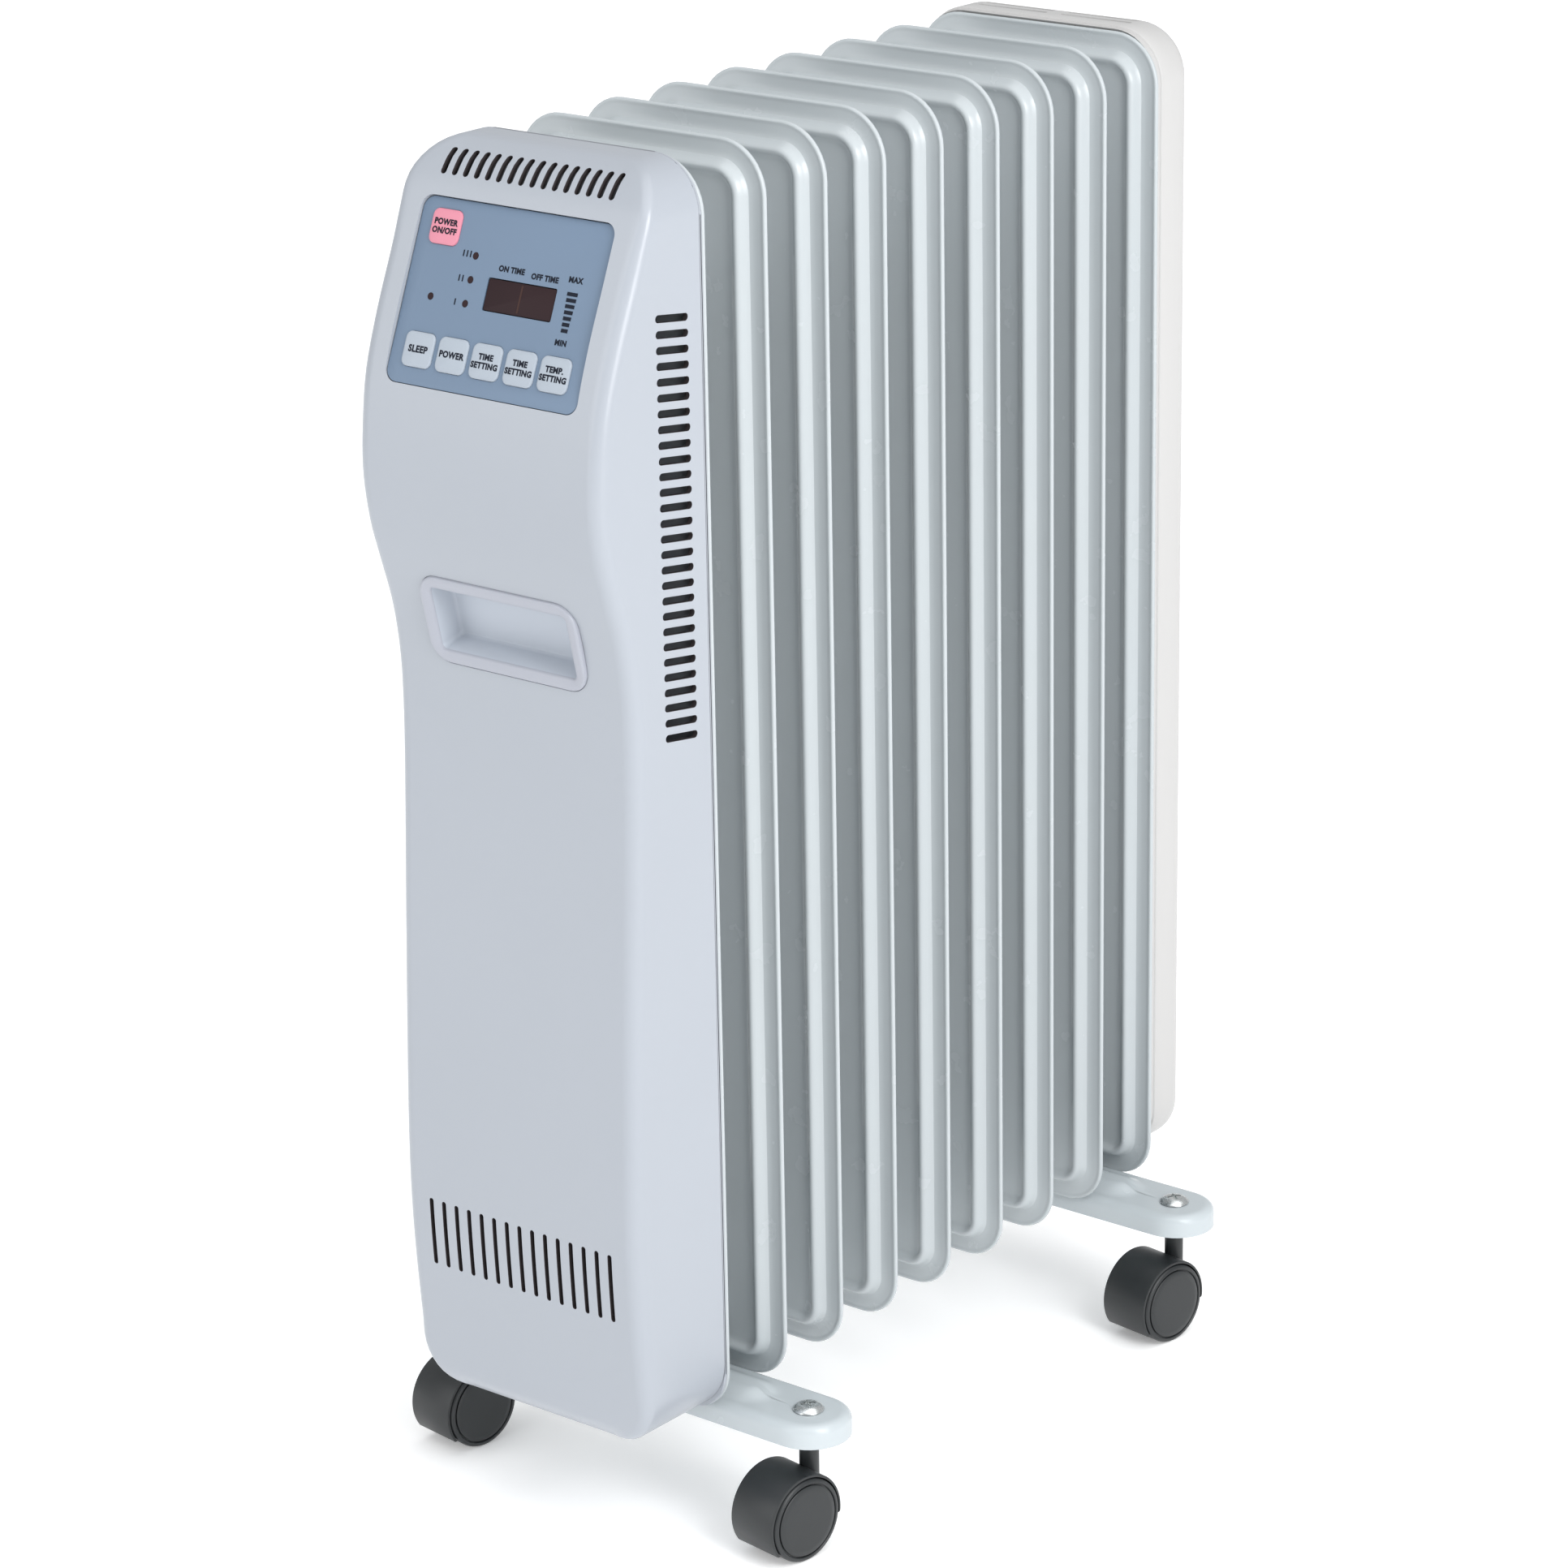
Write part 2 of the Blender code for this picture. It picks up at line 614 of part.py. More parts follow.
key_shape = joined(
    prism(key_outline(0), "Z", -0.0060, 0.0009),
    prism(key_outline(0.0009), "Z", -0.0065, -0.0053),
)
for name, (x, y) in KEYS.items():
    axis = panel_empty(name + "_slide", x, y)
    stuff = KEY_PINK if name == "power_key" else KEY_PALE
    one = key_shape if name == "power_key" else place(key_shape.data.copy())
    part(name, one, stuff, parent=axis)

# ---------------------------------------------------------------- grip
grip = joined(
    prism(rounded(0.090, -0.0213, 0.0213, 0.0106, steps=4), "Z", -0.0013, 0.0012),
    prism(rounded(0.082, -0.0167, 0.0167, 0.0050), "Z", -0.0145, 0.0),
)
grip = less(grip, prism(rounded(0.078, -0.0147, 0.0147, 0.0030), "Z", -0.0125, 0.01))
part("grip_cup", grip, GRIP, GRIP_CENTRE, (GRIP_TILT, 0, 0))

# ---------------------------------------------------------------- rear cover
REAR_LIP_Y = fin_y(9) + RIM_HALF + GAP
REAR_Y = FRONT_Y + LENGTH


def rear_outline(inset):
    return rounded(
        FIN_WIDTH - 2 * inset, 0.014 + inset, 0.582 - inset, 0.025 - inset, 0.023 - inset
    )


def rear_block(inset, front, back, round_off):
    block = prism(rear_outline(inset), "Y", front, back)
    return soften(block, round_off, lambda p: p.y > back - 0.0005, 2)


rear = joined(
    rear_block(0, REAR_LIP_Y + 0.0032, REAR_Y, 0.010),
    prism(rear_outline(0.0009), "Y", REAR_LIP_Y, REAR_LIP_Y + 0.005),
)
rear = less(
    rear,
    rear_block(WALL, REAR_LIP_Y - 0.01, REAR_Y - WALL, 0.008),
    prism(fin_outline(0.0065), "Y", REAR_LIP_Y - 0.01, fin_y(9) + BEAD_HALF + 0.0004),
)
for height in (DUCT_LOW, DUCT_HIGH):
    rear = joined(rear, cylinder(0.007, "Y", fin_y(9) + 0.0135, REAR_Y - 0.001, (0, 0, height), 12))
for height in (DUCT_LOW, DUCT_HIGH):
    rear = less(
        rear,
        cylinder(0.0024, "Y", fin_y(9), REAR_Y + 0.01, (0, 0, height), 10),
        cylinder(0.0048, "Y", REAR_Y - 0.003, REAR_Y + 0.01, (0, 0, height), 12),
    )
rear_slots = copies(
    prism(rounded(0.042, -0.00125, 0.00125, 0.0012, steps=1), "Z", 0.57, 0.60),
    [(sx * 0.0245, REAR_Y - depth, 0) for sx in (-1, 1) for depth in (0.0105, 0.0165)],
)
back_slots = copies(
    prism(slot(0.070, 0.0035), "Y", REAR_Y - 0.01, REAR_Y + 0.01),
    [(0, 0, low + 0.012 * i) for low in (0.10, 0.42) for i in range(6)],
)
rear = less(rear, rear_slots, back_slots)
part("rear_cover", rear, COVER_PLASTIC, (0, 0, Z0))
cover_screw = turned(
    [(0, 0.0024), (0.0044, 0.0018), (0.0044, 0), (0.0020, 0), (0.0020, -0.018), (0, -0.018)], 10
)
cover_screw_at = REAR_Y - 0.003 + GAP
part("rear_cover_screw_low", cover_screw, STEEL, (0, cover_screw_at, Z0 + DUCT_LOW),
     (math.radians(-90), 0, 0))
copy_of(cover_screw, "rear_cover_screw_high", (0, cover_screw_at, Z0 + DUCT_HIGH))

# ---------------------------------------------------------------- foot bars, U-bolts, wing nuts
def stadium(half_length, half_width, steps=6):
    centre = half_length - half_width
    points = []
    for side in (1, -1):
        for i in range(steps + 1):
            a = math.radians(-90 + 180 * i / steps)
            points.append((side * (centre + half_width * math.cos(a)), side * half_width * math.sin(a)))
    return points


LEG_X = DUCT_R + 0.0034
FOOT_TOP = 0.003  # above the fins' lowest edge, between two fins' rims
bar = soften(
    prism(stadium(FOOT_HALF_LENGTH, FOOT_HALF_WIDTH), "Z", FOOT_TOP - 0.011, FOOT_TOP),
    0.0025, lambda p: p.z > FOOT_TOP - 0.0003,
)
rib = soften(
    prism(stadium(0.079, 0.0130, 3), "Z", FOOT_TOP - 0.003, FOOT_TOP + 0.0036),
    0.003, lambda p: p.z > FOOT_TOP + 0.0033,
)
bar = joined(bar, rib)
bar = less(
    bar,
    prism(stadium(FOOT_HALF_LENGTH - 0.002, FOOT_HALF_WIDTH - 0.002), "Z", -0.02, FOOT_TOP - 0.002),
    prism(stadium(0.0745, 0.0085, 3), "Z", -0.02, FOOT_TOP + 0.0018),
    copies(cylinder(0.0028, "Z", -0.02, 0.02, segments=10), [(-CASTER_X, 0, 0), (CASTER_X, 0, 0)]),
    copies(cylinder(0.0033, "Z", -0.02, 0.02, segments=10), [(-LEG_X, 0, 0), (LEG_X, 0, 0)]),
)
part("foot_bar_front", bar, FIN_PAINT, (0, FOOT_Y[0], Z0))
copy_of(bar, "foot_bar_rear", (0, FOOT_Y[1], Z0))

loop = [(-LEG_X, 0, -0.010), (-LEG_X, 0, DUCT_LOW)]
loop += [
    (-LEG_X * math.cos(math.radians(a)), 0, DUCT_LOW + LEG_X * math.sin(math.radians(a)))
    for a in range(20, 161, 20)
]
loop += [(LEG_X, 0, DUCT_LOW), (LEG_X, 0, -0.010)]
bolt = wire(loop, 0.0029)
part("u_bolt_front", bolt, STEEL, (0, FOOT_Y[0], Z0))
copy_of(bolt, "u_bolt_rear", (0, FOOT_Y[1], Z0))

nut = joined(
    cylinder(0.0052, "Z", -0.0075, -GAP, segments=10),
    box((-0.0125, -0.0011, -0.0095), (0.0125, 0.0011, -0.002)),
)
nut = less(nut, cylinder(0.0033, "Z", -0.02, 0.01, segments=10))
nut_z = Z0 + FOOT_TOP + 0.002
part("wing_nut_front_left", nut, STEEL, (-LEG_X, FOOT_Y[0], nut_z))
copy_of(nut, "wing_nut_front_right", (LEG_X, FOOT_Y[0], nut_z))
copy_of(nut, "wing_nut_rear_left", (-LEG_X, FOOT_Y[1], nut_z))
copy_of(nut, "wing_nut_rear_right", (LEG_X, FOOT_Y[1], nut_z))

# ---------------------------------------------------------------- casters
# A caster is modelled about its axle's middle: axle along X, stem behind it at +Y.
hood_line = [
    (HOOD_R * math.cos(math.radians(a)), HOOD_R * math.sin(math.radians(a)))
    for a in range(-8, 218, 15)
]
hood_line += [(-0.010, -0.0120), (0.002, -0.0080), (0.012, -0.0060)]
stem_top = FIN_LIFT + FOOT_TOP - 0.002 - GAP - WHEEL_R
hood = joined(
    prism(hood_line, "X", -0.0135, 0.0135), cylinder(0.0046, "Z", 0.008, stem_top, (0, TRAIL, 0), 12)
)
hood = less(
    hood,
    cylinder(WHEEL_R + 0.0009, "X", 0.0027, 0.020, segments=20),
    cylinder(WHEEL_R + 0.0009, "X", -0.020, -0.0027, segments=20),
    cylinder(0.0023, "X", -0.01, 0.01, segments=10),
    cylinder(0.0028, "Z", stem_top - 0.016, stem_top + 0.01, (0, TRAIL, 0), 10),
)
WHEEL_SIDES = 16
tread = WHEEL_R / math.cos(math.pi / WHEEL_SIDES)  # so that a flat of the tread is on the floor
wheel_profile = [
    (0, 0.0150), (0.0172, 0.0144), (tread, 0.0130), (tread, 0.0040), (0.0192, 0.0030),
    (0.0023, 0.0030), (0.0023, 0.0128), (0, 0.0128),
]
wheel = moved(
    turned(wheel_profile, WHEEL_SIDES), Matrix.Rotation(math.pi / WHEEL_SIDES, 4, "Z")
)
axle = cylinder(0.0020, "X", -0.0124, 0.0124, segments=10)
stud = turned(
    [(0, 0.0030), (0.0050, 0.0022), (0.0073, 0.0), (0.0025, 0.0), (0.0025, -0.015), (0, -0.015)], 14
)
for end, foot_y in zip(("front", "rear"), FOOT_Y):
    for side, sign in (("left", -1), ("right", 1)):
        tag = f"{end}_{side}"
        swivel = bpy.data.objects.new(f"caster_{tag}_swivel", None)
        parts.objects.link(swivel)
        swivel.location = (sign * CASTER_X, foot_y, WHEEL_R)
        swivel.rotation_euler = (0, 0, CASTER_TURN)
        outward = (0, math.radians(90 * sign), 0)
        inward = (0, math.radians(-90 * sign), 0)
        for name, shape, stuff, turn in (
            (f"caster_hood_{tag}", hood, BLACK, None),
            (f"caster_axle_{tag}", axle, STEEL, None),
            (f"wheel_{tag}_outer", wheel, BLACK, outward),
            (f"wheel_{tag}_inner", wheel, BLACK, inward),
        ):
            part(name, place(shape.data.copy()), stuff, (0, -TRAIL, 0), turn, swivel)
        part(f"caster_screw_{tag}", place(stud.data.copy()), STEEL,
             (sign * CASTER_X, foot_y, Z0 + FOOT_TOP + GAP))
for tool in (hood, wheel, axle, stud):
    bpy.data.objects.remove(tool, do_unlink=True)
bpy.context.view_layer.update()
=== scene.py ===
"""Looks of the oil filled radiator heater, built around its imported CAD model.

Metres, +Z up, the floor is z = 0, the control panel faces -Y. Heights in the constants below are
above the fins' lowest edge, which is FIN_LIFT above the floor, unless they say otherwise.
"""

import math

import bmesh
import bpy
import numpy as np
from mathutils import Matrix, Vector
from mathutils.bvhtree import BVHTree


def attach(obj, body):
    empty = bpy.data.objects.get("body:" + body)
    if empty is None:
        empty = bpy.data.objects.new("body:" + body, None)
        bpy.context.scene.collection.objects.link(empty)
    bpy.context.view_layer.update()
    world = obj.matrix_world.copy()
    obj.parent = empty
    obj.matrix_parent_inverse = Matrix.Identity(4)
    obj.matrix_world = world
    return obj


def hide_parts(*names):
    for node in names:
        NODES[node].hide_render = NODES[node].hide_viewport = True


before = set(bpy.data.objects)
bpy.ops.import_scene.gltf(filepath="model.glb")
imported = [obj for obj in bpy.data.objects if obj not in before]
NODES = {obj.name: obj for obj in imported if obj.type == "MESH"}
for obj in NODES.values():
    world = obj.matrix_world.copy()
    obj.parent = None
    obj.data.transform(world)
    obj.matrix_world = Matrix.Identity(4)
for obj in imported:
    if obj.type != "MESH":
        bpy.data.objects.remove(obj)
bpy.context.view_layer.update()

# ---------------------------------------------------------------- sizes, as the CAD model has them
GAP = 0.0003
FIN_LIFT = 0.063
FIN_PITCH = 0.0418
FIN_WIDTH, FIN_HEIGHT = 0.139, 0.580
FIN_TOP_R, FIN_BOTTOM_R = 0.024, 0.021
DUCT_R = 0.020
DUCTS = (0.050, 0.530)
FRONT_Y, REAR_Y = -0.21775, 0.21775
FIN1_Y = FRONT_Y + 0.0722
HOUSING_HEIGHT = 0.581
WALL = 0.0025
COVER_REAR_Y = FIN1_Y - 0.0032
TRAY_Y = COVER_REAR_Y - 0.007
COVER_BOTTOM_R = 0.0265
PANEL_TILT = math.radians(67.67)
PANEL_CENTRE = Vector((0, FRONT_Y + 0.0195, FIN_LIFT + 0.5192))
PANEL_W, PANEL_H, PANEL_R = 0.109, 0.0822, 0.006
KEY_W, KEY_H, KEY_R = 0.0166, 0.0154, 0.0032
KEY_PITCH, KEY_ROW = 0.01925, -0.0256
GRIP_TILT = math.radians(103)
GRIP_CENTRE = Vector((0, FRONT_Y + 0.0141, FIN_LIFT + 0.3745))
FOOT_HALF_LENGTH, FOOT_HALF_WIDTH = 0.1185, 0.0192
FOOT_TOP = 0.003
CASTER_X, CASTER_TURN, TRAIL = 0.0985, math.radians(-8), 0.015
WHEEL_R, HOOD_R = 0.020, 0.0218
FOOT_Y = {"front": FIN1_Y + FIN_PITCH / 2, "rear": FIN1_Y + 7.5 * FIN_PITCH}
LEG_X = DUCT_R + 0.0034
SIDES = {"left": -1, "right": 1}
REAR_ROUND = 0.010
WORD_SPREAD, NUMERAL_SPREAD, LINE_SPACING = 1.08, 1.6, 1.05
SLOT_TILT = math.radians(-8)  # the side slots fall slightly towards the back
KEY_GAP = 0.00014  # round the keys, so that they look like one touch panel
SEAT_W, SEAT_HALF_H, SEAT_R = 0.0904, 0.0215, 0.0108
GRIP_HOLE_W, GRIP_HOLE_HALF_H, GRIP_HOLE_R = 0.0826, 0.0170, 0.0053
CUP_HALF_W, CUP_HALF_H = 0.0392, 0.0155
RIB_HALF_LENGTH, RIB_HALF_WIDTH, RIB_FALL, RIB_HEIGHT = 0.079, 0.0140, 0.0105, 0.0036
FOOT_EDGE_R, FOOT_EDGE_Z, FOOT_WALL = 0.0046, -0.0016, 0.0019
LAMP_R, LAMP_HOLE_R = 0.00155, 0.00165
BOLT_R, STEM_R, SCREW_SINK_R = 0.0029, 0.0046, 0.0048

UP = Matrix.Translation((0, 0, FIN_LIFT))
DOWN = Matrix.Translation((0, 0, -FIN_LIFT))
PANEL_FRAME = Matrix.Translation(PANEL_CENTRE) @ Matrix.Rotation(PANEL_TILT, 4, "X")
GRIP_FRAME = Matrix.Translation(GRIP_CENTRE) @ Matrix.Rotation(GRIP_TILT, 4, "X")
AXIS_Y = Matrix.Rotation(math.radians(90), 4, "X")  # takes (x, y, z) to (x, -z, y)

# The middle line of the housing's front: how far behind FRONT_Y it is, and the height.
FRONT_LINE = [
    (0.026, 0.0), (0.0195, 0.0035), (0.0165, 0.012), (0.0150, 0.030), (0.0118, 0.070),
    (0.0106, 0.105), (0.0115, 0.150), (0.0150, 0.230), (0.0184, 0.300), (0.0192, 0.335),
    (0.0182, 0.356), (0.0148, 0.377), (0.0085, 0.398), (0.0030, 0.417), (0.0, 0.440),
    (0.0014, 0.463), (0.0048, 0.484), (0.0130, 0.508), (0.0236, 0.533), (0.0342, 0.558),
    (0.0390, 0.567), (0.0450, 0.5742), (0.0505, 0.5785), (0.0550, 0.5804), (0.0590, 0.581),
]


# ---------------------------------------------------------------- materials
def nodes_of(made):
    made.use_nodes = True
    tree = made.node_tree
    return tree, tree.nodes["Principled BSDF"]


def link_noise(tree, scale, detail=2.0):
    """A noise texture in object space."""
    place = tree.nodes.new("ShaderNodeTexCoord")
    noise = tree.nodes.new("ShaderNodeTexNoise")
    noise.inputs["Scale"].default_value = scale
    noise.inputs["Detail"].default_value = detail
    tree.links.new(place.outputs["Object"], noise.inputs["Vector"])
    return noise


def ramp_between(tree, source, low, high, first, second):
    """A colour ramp from first to second as the source goes from low to high."""
    ramp = tree.nodes.new("ShaderNodeValToRGB")
    ramp.color_ramp.elements[0].position, ramp.color_ramp.elements[0].color = low, (*first, 1)
    ramp.color_ramp.elements[1].position, ramp.color_ramp.elements[1].color = high, (*second, 1)
    tree.links.new(source, ramp.inputs["Fac"])
    return ramp.outputs["Color"]


def surface(name, colour, roughness, metallic=0.0, tone=0.03, tone_scale=14.0, grain=900.0,
            bump=0.04, rough_spread=0.05, specular=0.5):
    """A finish with slight cloudy tone, uneven gloss and a fine surface grain."""
    made = bpy.data.materials.new(name)
    tree, shader = nodes_of(made)
    shader.inputs["Metallic"].default_value = metallic
    shader.inputs["Specular IOR Level"].default_value = specular
    cloud = link_noise(tree, tone_scale, 3.0)
    light = [min(1.0, c * (1 + tone)) for c in colour]
    dark = [c * (1 - tone) for c in colour]
    tree.links.new(ramp_between(tree, cloud.outputs["Fac"], 0.3, 0.7, dark, light),
                   shader.inputs["Base Color"])
    gloss = tree.nodes.new("ShaderNodeMapRange")
    gloss.inputs["To Min"].default_value = max(0.02, roughness - rough_spread)
    gloss.inputs["To Max"].default_value = min(1.0, roughness + rough_spread)
    wear = link_noise(tree, tone_scale * 4, 4.0)
    tree.links.new(wear.outputs["Fac"], gloss.inputs["Value"])
    tree.links.new(gloss.outputs["Result"], shader.inputs["Roughness"])
    fine = link_noise(tree, grain)
    bumps = tree.nodes.new("ShaderNodeBump")
    bumps.inputs["Strength"].default_value = bump
    bumps.inputs["Distance"].default_value = 0.0002
    tree.links.new(fine.outputs["Fac"], bumps.inputs["Height"])
    tree.links.new(bumps.outputs["Normal"], shader.inputs["Normal"])
    return made


FIN_PAINT = surface("fin_paint", (0.44, 0.475, 0.492), 0.27, tone=0.006, grain=420.0, bump=0.04,
                    rough_spread=0.012)
FOOT_PAINT = surface("foot_paint", (0.465, 0.508, 0.53), 0.27, tone=0.006, grain=420.0, bump=0.04,
                     rough_spread=0.012)
HOUSING = surface("housing_plastic", (0.345, 0.370, 0.410), 0.29, tone=0.006, grain=1500.0,
                  bump=0.04, rough_spread=0.012)
COVER_PLASTIC = surface("rear_cover_plastic", (0.475, 0.47, 0.465), 0.36, tone=0.006, grain=1500.0,
                        bump=0.04, rough_spread=0.012)
PANEL_BLUE = surface("panel_film", (0.127, 0.184, 0.266), 0.5, tone=0.02, grain=2600.0, bump=0.05)
KEY_PALE = surface("key_pale", (0.335, 0.378, 0.432), 0.45, tone=0.02, grain=2600.0, bump=0.05)
KEY_PINK = surface("key_pink", (0.60, 0.215, 0.285), 0.45, tone=0.02, grain=2600.0, bump=0.05)
DISPLAY = surface("display_window", (0.026, 0.014, 0.016), 0.5, tone=0.1, bump=0.0, specular=0.12)
BOARD = surface("circuit_board", (0.03, 0.16, 0.06), 0.5, tone=0.15, tone_scale=60.0)
BLACK = surface("black_plastic", (0.0135, 0.016, 0.0175), 0.42, tone=0.12, grain=1300.0, bump=0.12)
INK = surface("printed_ink", (0.012, 0.015, 0.024), 0.6, tone=0.05, bump=0.0, specular=0.1)
GRIP = surface("grip_plastic", (0.35, 0.365, 0.415), 0.36, tone=0.006, grain=1500.0, bump=0.06,
               rough_spread=0.012)
# Painted light: a lighter copy of the grip plastic for the inside of the grip cup, brightened
# against the shade in the recess.
PAINTED_LIGHT_CUP = surface("grip_cup_inside_painted_light", (0.43, 0.465, 0.52), 0.45, tone=0.01, grain=1500.0, bump=0.03)
# Painted shade: a near-black stand-in for the shade on the housing's inner faces and slot walls.
PAINTED_SHADE_INSIDE = surface("housing_inside_painted_shade", (0.035, 0.028, 0.030), 0.7, tone=0.1, bump=0.05)
STEEL = surface("zinc_plated_steel", (0.62, 0.64, 0.64), 0.27, 1.0, tone=0.1, tone_scale=220.0,
                grain=2200.0, bump=0.1, rough_spread=0.09)
HEATER = surface("heater_tube", (0.35, 0.33, 0.30), 0.42, 1.0, tone=0.15, tone_scale=50.0, bump=0.1)
BRASS = surface("brass", (0.70, 0.50, 0.22), 0.33, 1.0, tone=0.08, tone_scale=50.0, bump=0.05)


# ---------------------------------------------------------------- mesh helpers
def mesh_object(name, points, faces):
    mesh = bpy.data.meshes.new(name)
    mesh.from_pydata([tuple(p) for p in points], [], faces)
    mesh.validate()
    made = bpy.data.objects.new(name, mesh)
    bpy.context.scene.collection.objects.link(made)
    return made


def copied(name, mesh):
    """A new object with its own copy of a mesh."""
    made = bpy.data.objects.new(name, mesh.copy())
    bpy.context.scene.collection.objects.link(made)
    return made


def outward(obj):
    """Consistent normals, pointing out of the solid."""
    work = bmesh.new()
    work.from_mesh(obj.data)
    bmesh.ops.remove_doubles(work, verts=work.verts, dist=1e-6)
    bmesh.ops.recalc_face_normals(work, faces=work.faces)
    work.to_mesh(obj.data)
    work.free()
    return obj


def baked(obj):
    """The object with its modifiers applied."""
    graph = bpy.context.evaluated_depsgraph_get()
    mesh = bpy.data.meshes.new_from_object(obj.evaluated_get(graph))
    old = obj.data
    obj.modifiers.clear()
    obj.data = mesh
    if old.users == 0:
        bpy.data.meshes.remove(old)
    return obj


def rounded(width, bottom, top, r_top, r_bottom=None, arc=8, side=1, centre=0.0):
    """A rounded rectangle, anticlockwise, with `side` spans along each upright side."""
    r_bottom = r_top if r_bottom is None else r_bottom
    points = []
    for sx, corner, radius, start in (
        (1, bottom, r_bottom, -90), (1, top, r_top, 0),
        (-1, top, r_top, 90), (-1, bottom, r_bottom, 180),
    ):
        cx = sx * (width / 2 - radius) + centre
        cz = corner + radius if corner == bottom else corner - radius
        turn = [
            (cx + radius * math.cos(math.radians(start + 90 * i / arc)),
             cz + radius * math.sin(math.radians(start + 90 * i / arc)))
            for i in range(arc + 1)
        ]
        if points and side > 1 and (sx, corner) in ((1, top), (-1, bottom)):
            (ax, az), (bx, bz) = points[-1], turn[0]
            points += [
                (ax + (bx - ax) * i / side, az + (bz - az) * i / side) for i in range(1, side)
            ]
        points += turn
    return points


def angles(steps):
    return np.linspace(0, 6.2832, steps + 1)[:-1]


def circle(radius, steps, x=0.0, y=0.0):
    return [(x + radius * math.cos(a), y + radius * math.sin(a)) for a in angles(steps)]


def loft(name, rings, first=None, last=None):
    """Quads between rings of equal length. An end is closed with "cap" or, where the ring is the
    same on both sides of its middle, with "zip", which joins each point to the one opposite."""
    count = len(rings[0])
    points = [p for ring in rings for p in ring]
    faces = []
    for r in range(len(rings) - 1):
        for i in range(count):
            a, b = r * count + i, r * count + (i + 1) % count
            faces.append((a, b, b + count, a + count))
    for how, base in ((first, 0), (last, (len(rings) - 1) * count)):
        if how == "cap":
            faces.append(tuple(range(base, base + count)))
        elif how == "zip":
            faces += [
                (base + i, base + i + 1, base + count - 2 - i, base + count - 1 - i)
                for i in range(count // 2 - 1)
            ]
    return outward(mesh_object(name, points, faces))


def turned(name, profile, steps=48):
    """A profile of (radius, height) turned about Z. It is closed where its ends are on the axis."""
    points, rows = [], []
    for r, h in profile:
        if r < 1e-7:
            rows.append([len(points)] * steps)
            points.append((0, 0, h))
        else:
            rows.append(list(range(len(points), len(points) + steps)))
            points += [
                (r * math.cos(2 * math.pi * i / steps), r * math.sin(2 * math.pi * i / steps), h)
                for i in range(steps)
            ]
    faces = []
    for low, high in zip(rows, rows[1:]):
        for i in range(steps):
            j = (i + 1) % steps
            corners = []
            for c in (low[i], low[j], high[j], high[i]):
                if c not in corners:
                    corners.append(c)
            if len(corners) > 2:
                faces.append(tuple(corners))
    return outward(mesh_object(name, points, faces))


def prism(name, outline, low, high, matrix=None):
    """An outline in (x, y) raised along Z from low to high, then moved by a matrix."""
    count = len(outline)
    points = [(a, b, low) for a, b in outline] + [(a, b, high) for a, b in outline]
    faces = [tuple(reversed(range(count))), tuple(range(count, 2 * count))]
    faces += [(i, (i + 1) % count, count + (i + 1) % count, count + i) for i in range(count)]
    made = mesh_object(name, points, faces)
    if matrix is not None:
        made.data.transform(matrix)
    return outward(made)


def merged(name, pieces):
    """Several mesh objects as one."""
    work = bmesh.new()
    for piece in pieces:
        work.from_mesh(piece.data)
        bpy.data.objects.remove(piece, do_unlink=True)
    mesh = bpy.data.meshes.new(name)
    work.to_mesh(mesh)
    work.free()
    made = bpy.data.objects.new(name, mesh)
    bpy.context.scene.collection.objects.link(made)
    return made


def boolean(target, tool, operation="DIFFERENCE"):
    change = target.modifiers.new("cut", "BOOLEAN")
    change.operation = operation
    change.solver = "EXACT"
    change.object = tool
    bpy.context.view_layer.update()
    baked(target)
    bpy.data.objects.remove(tool, do_unlink=True)
    return target


def walled(obj, thickness, even=False):
    """An open skin given a wall on its inner side."""
    change = obj.modifiers.new("wall", "SOLIDIFY")
    change.thickness = thickness
    change.offset = -1
    change.use_even_offset = even
    bpy.context.view_layer.update()
    return outward(baked(obj))


def shaded(obj, angle=32):
    obj.data.shade_smooth()
    obj.data.set_sharp_from_angle(angle=math.radians(angle))
    return obj


def bevel(obj, width, segments=3, angle=35):
    change = obj.modifiers.new("bevel", "BEVEL")
    change.width = width
    change.segments = segments
    change.limit_method = "ANGLE"
    change.angle_limit = math.radians(angle)
    bpy.context.view_layer.update()
    return baked(obj)


def finish(obj, stuff, body, replaces=(), angle=32):
    """Gives a piece its material, its CAD body and the CAD nodes it stands for."""
    shaded(obj, angle)
    obj.data.materials.clear()
    obj.data.materials.append(stuff)
    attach(obj, body)
    if replaces:
        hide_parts(*replaces)
    return obj


def obround(width, height, steps=6):
    """A slot's outline with round ends, its long side along whichever is longer."""
    r = min(width, height) / 2
    x, y = width / 2 - r, height / 2 - r
    points = []
    for cx, cy, start in ((x, -y, -90), (x, y, 0), (-x, y, 90), (-x, -y, 180)):
        points += [
            (cx + r * math.cos(math.radians(start + 90 * i / steps)),
             cy + r * math.sin(math.radians(start + 90 * i / steps)))
            for i in range(steps + 1)
        ]
    return tidy(points)


def tidy(points):
    """The outline without repeated points."""
    kept = []
    for p in points:
        if not kept or math.dist(p, kept[-1]) > 1e-6:
            kept.append(p)
    if math.dist(kept[0], kept[-1]) < 1e-6:
        kept.pop()
    return kept


# ---------------------------------------------------------------- fins
# Inset from the fin's edge and half thickness there, in mm: rolled rim, flange, bead, pressed well.
FIN_PROFILE = [
    (0.0, 0.0), (0.10, 0.55), (0.35, 0.92), (0.75, 1.14), (1.2, 1.18), (1.7, 1.02), (2.3, 0.80),
    (3.2, 0.72), (5.6, 0.74), (7.4, 0.86), (8.6, 1.25), (9.3, 2.10), (9.9, 3.35), (10.5, 4.70),
    (11.2, 5.75), (12.0, 6.36), (12.7, 6.48), (13.4, 6.30), (14.1, 5.75), (14.8, 5.00),
    (15.5, 4.35), (16.4, 3.98), (17.8, 3.85), (24.0, 3.9),
]


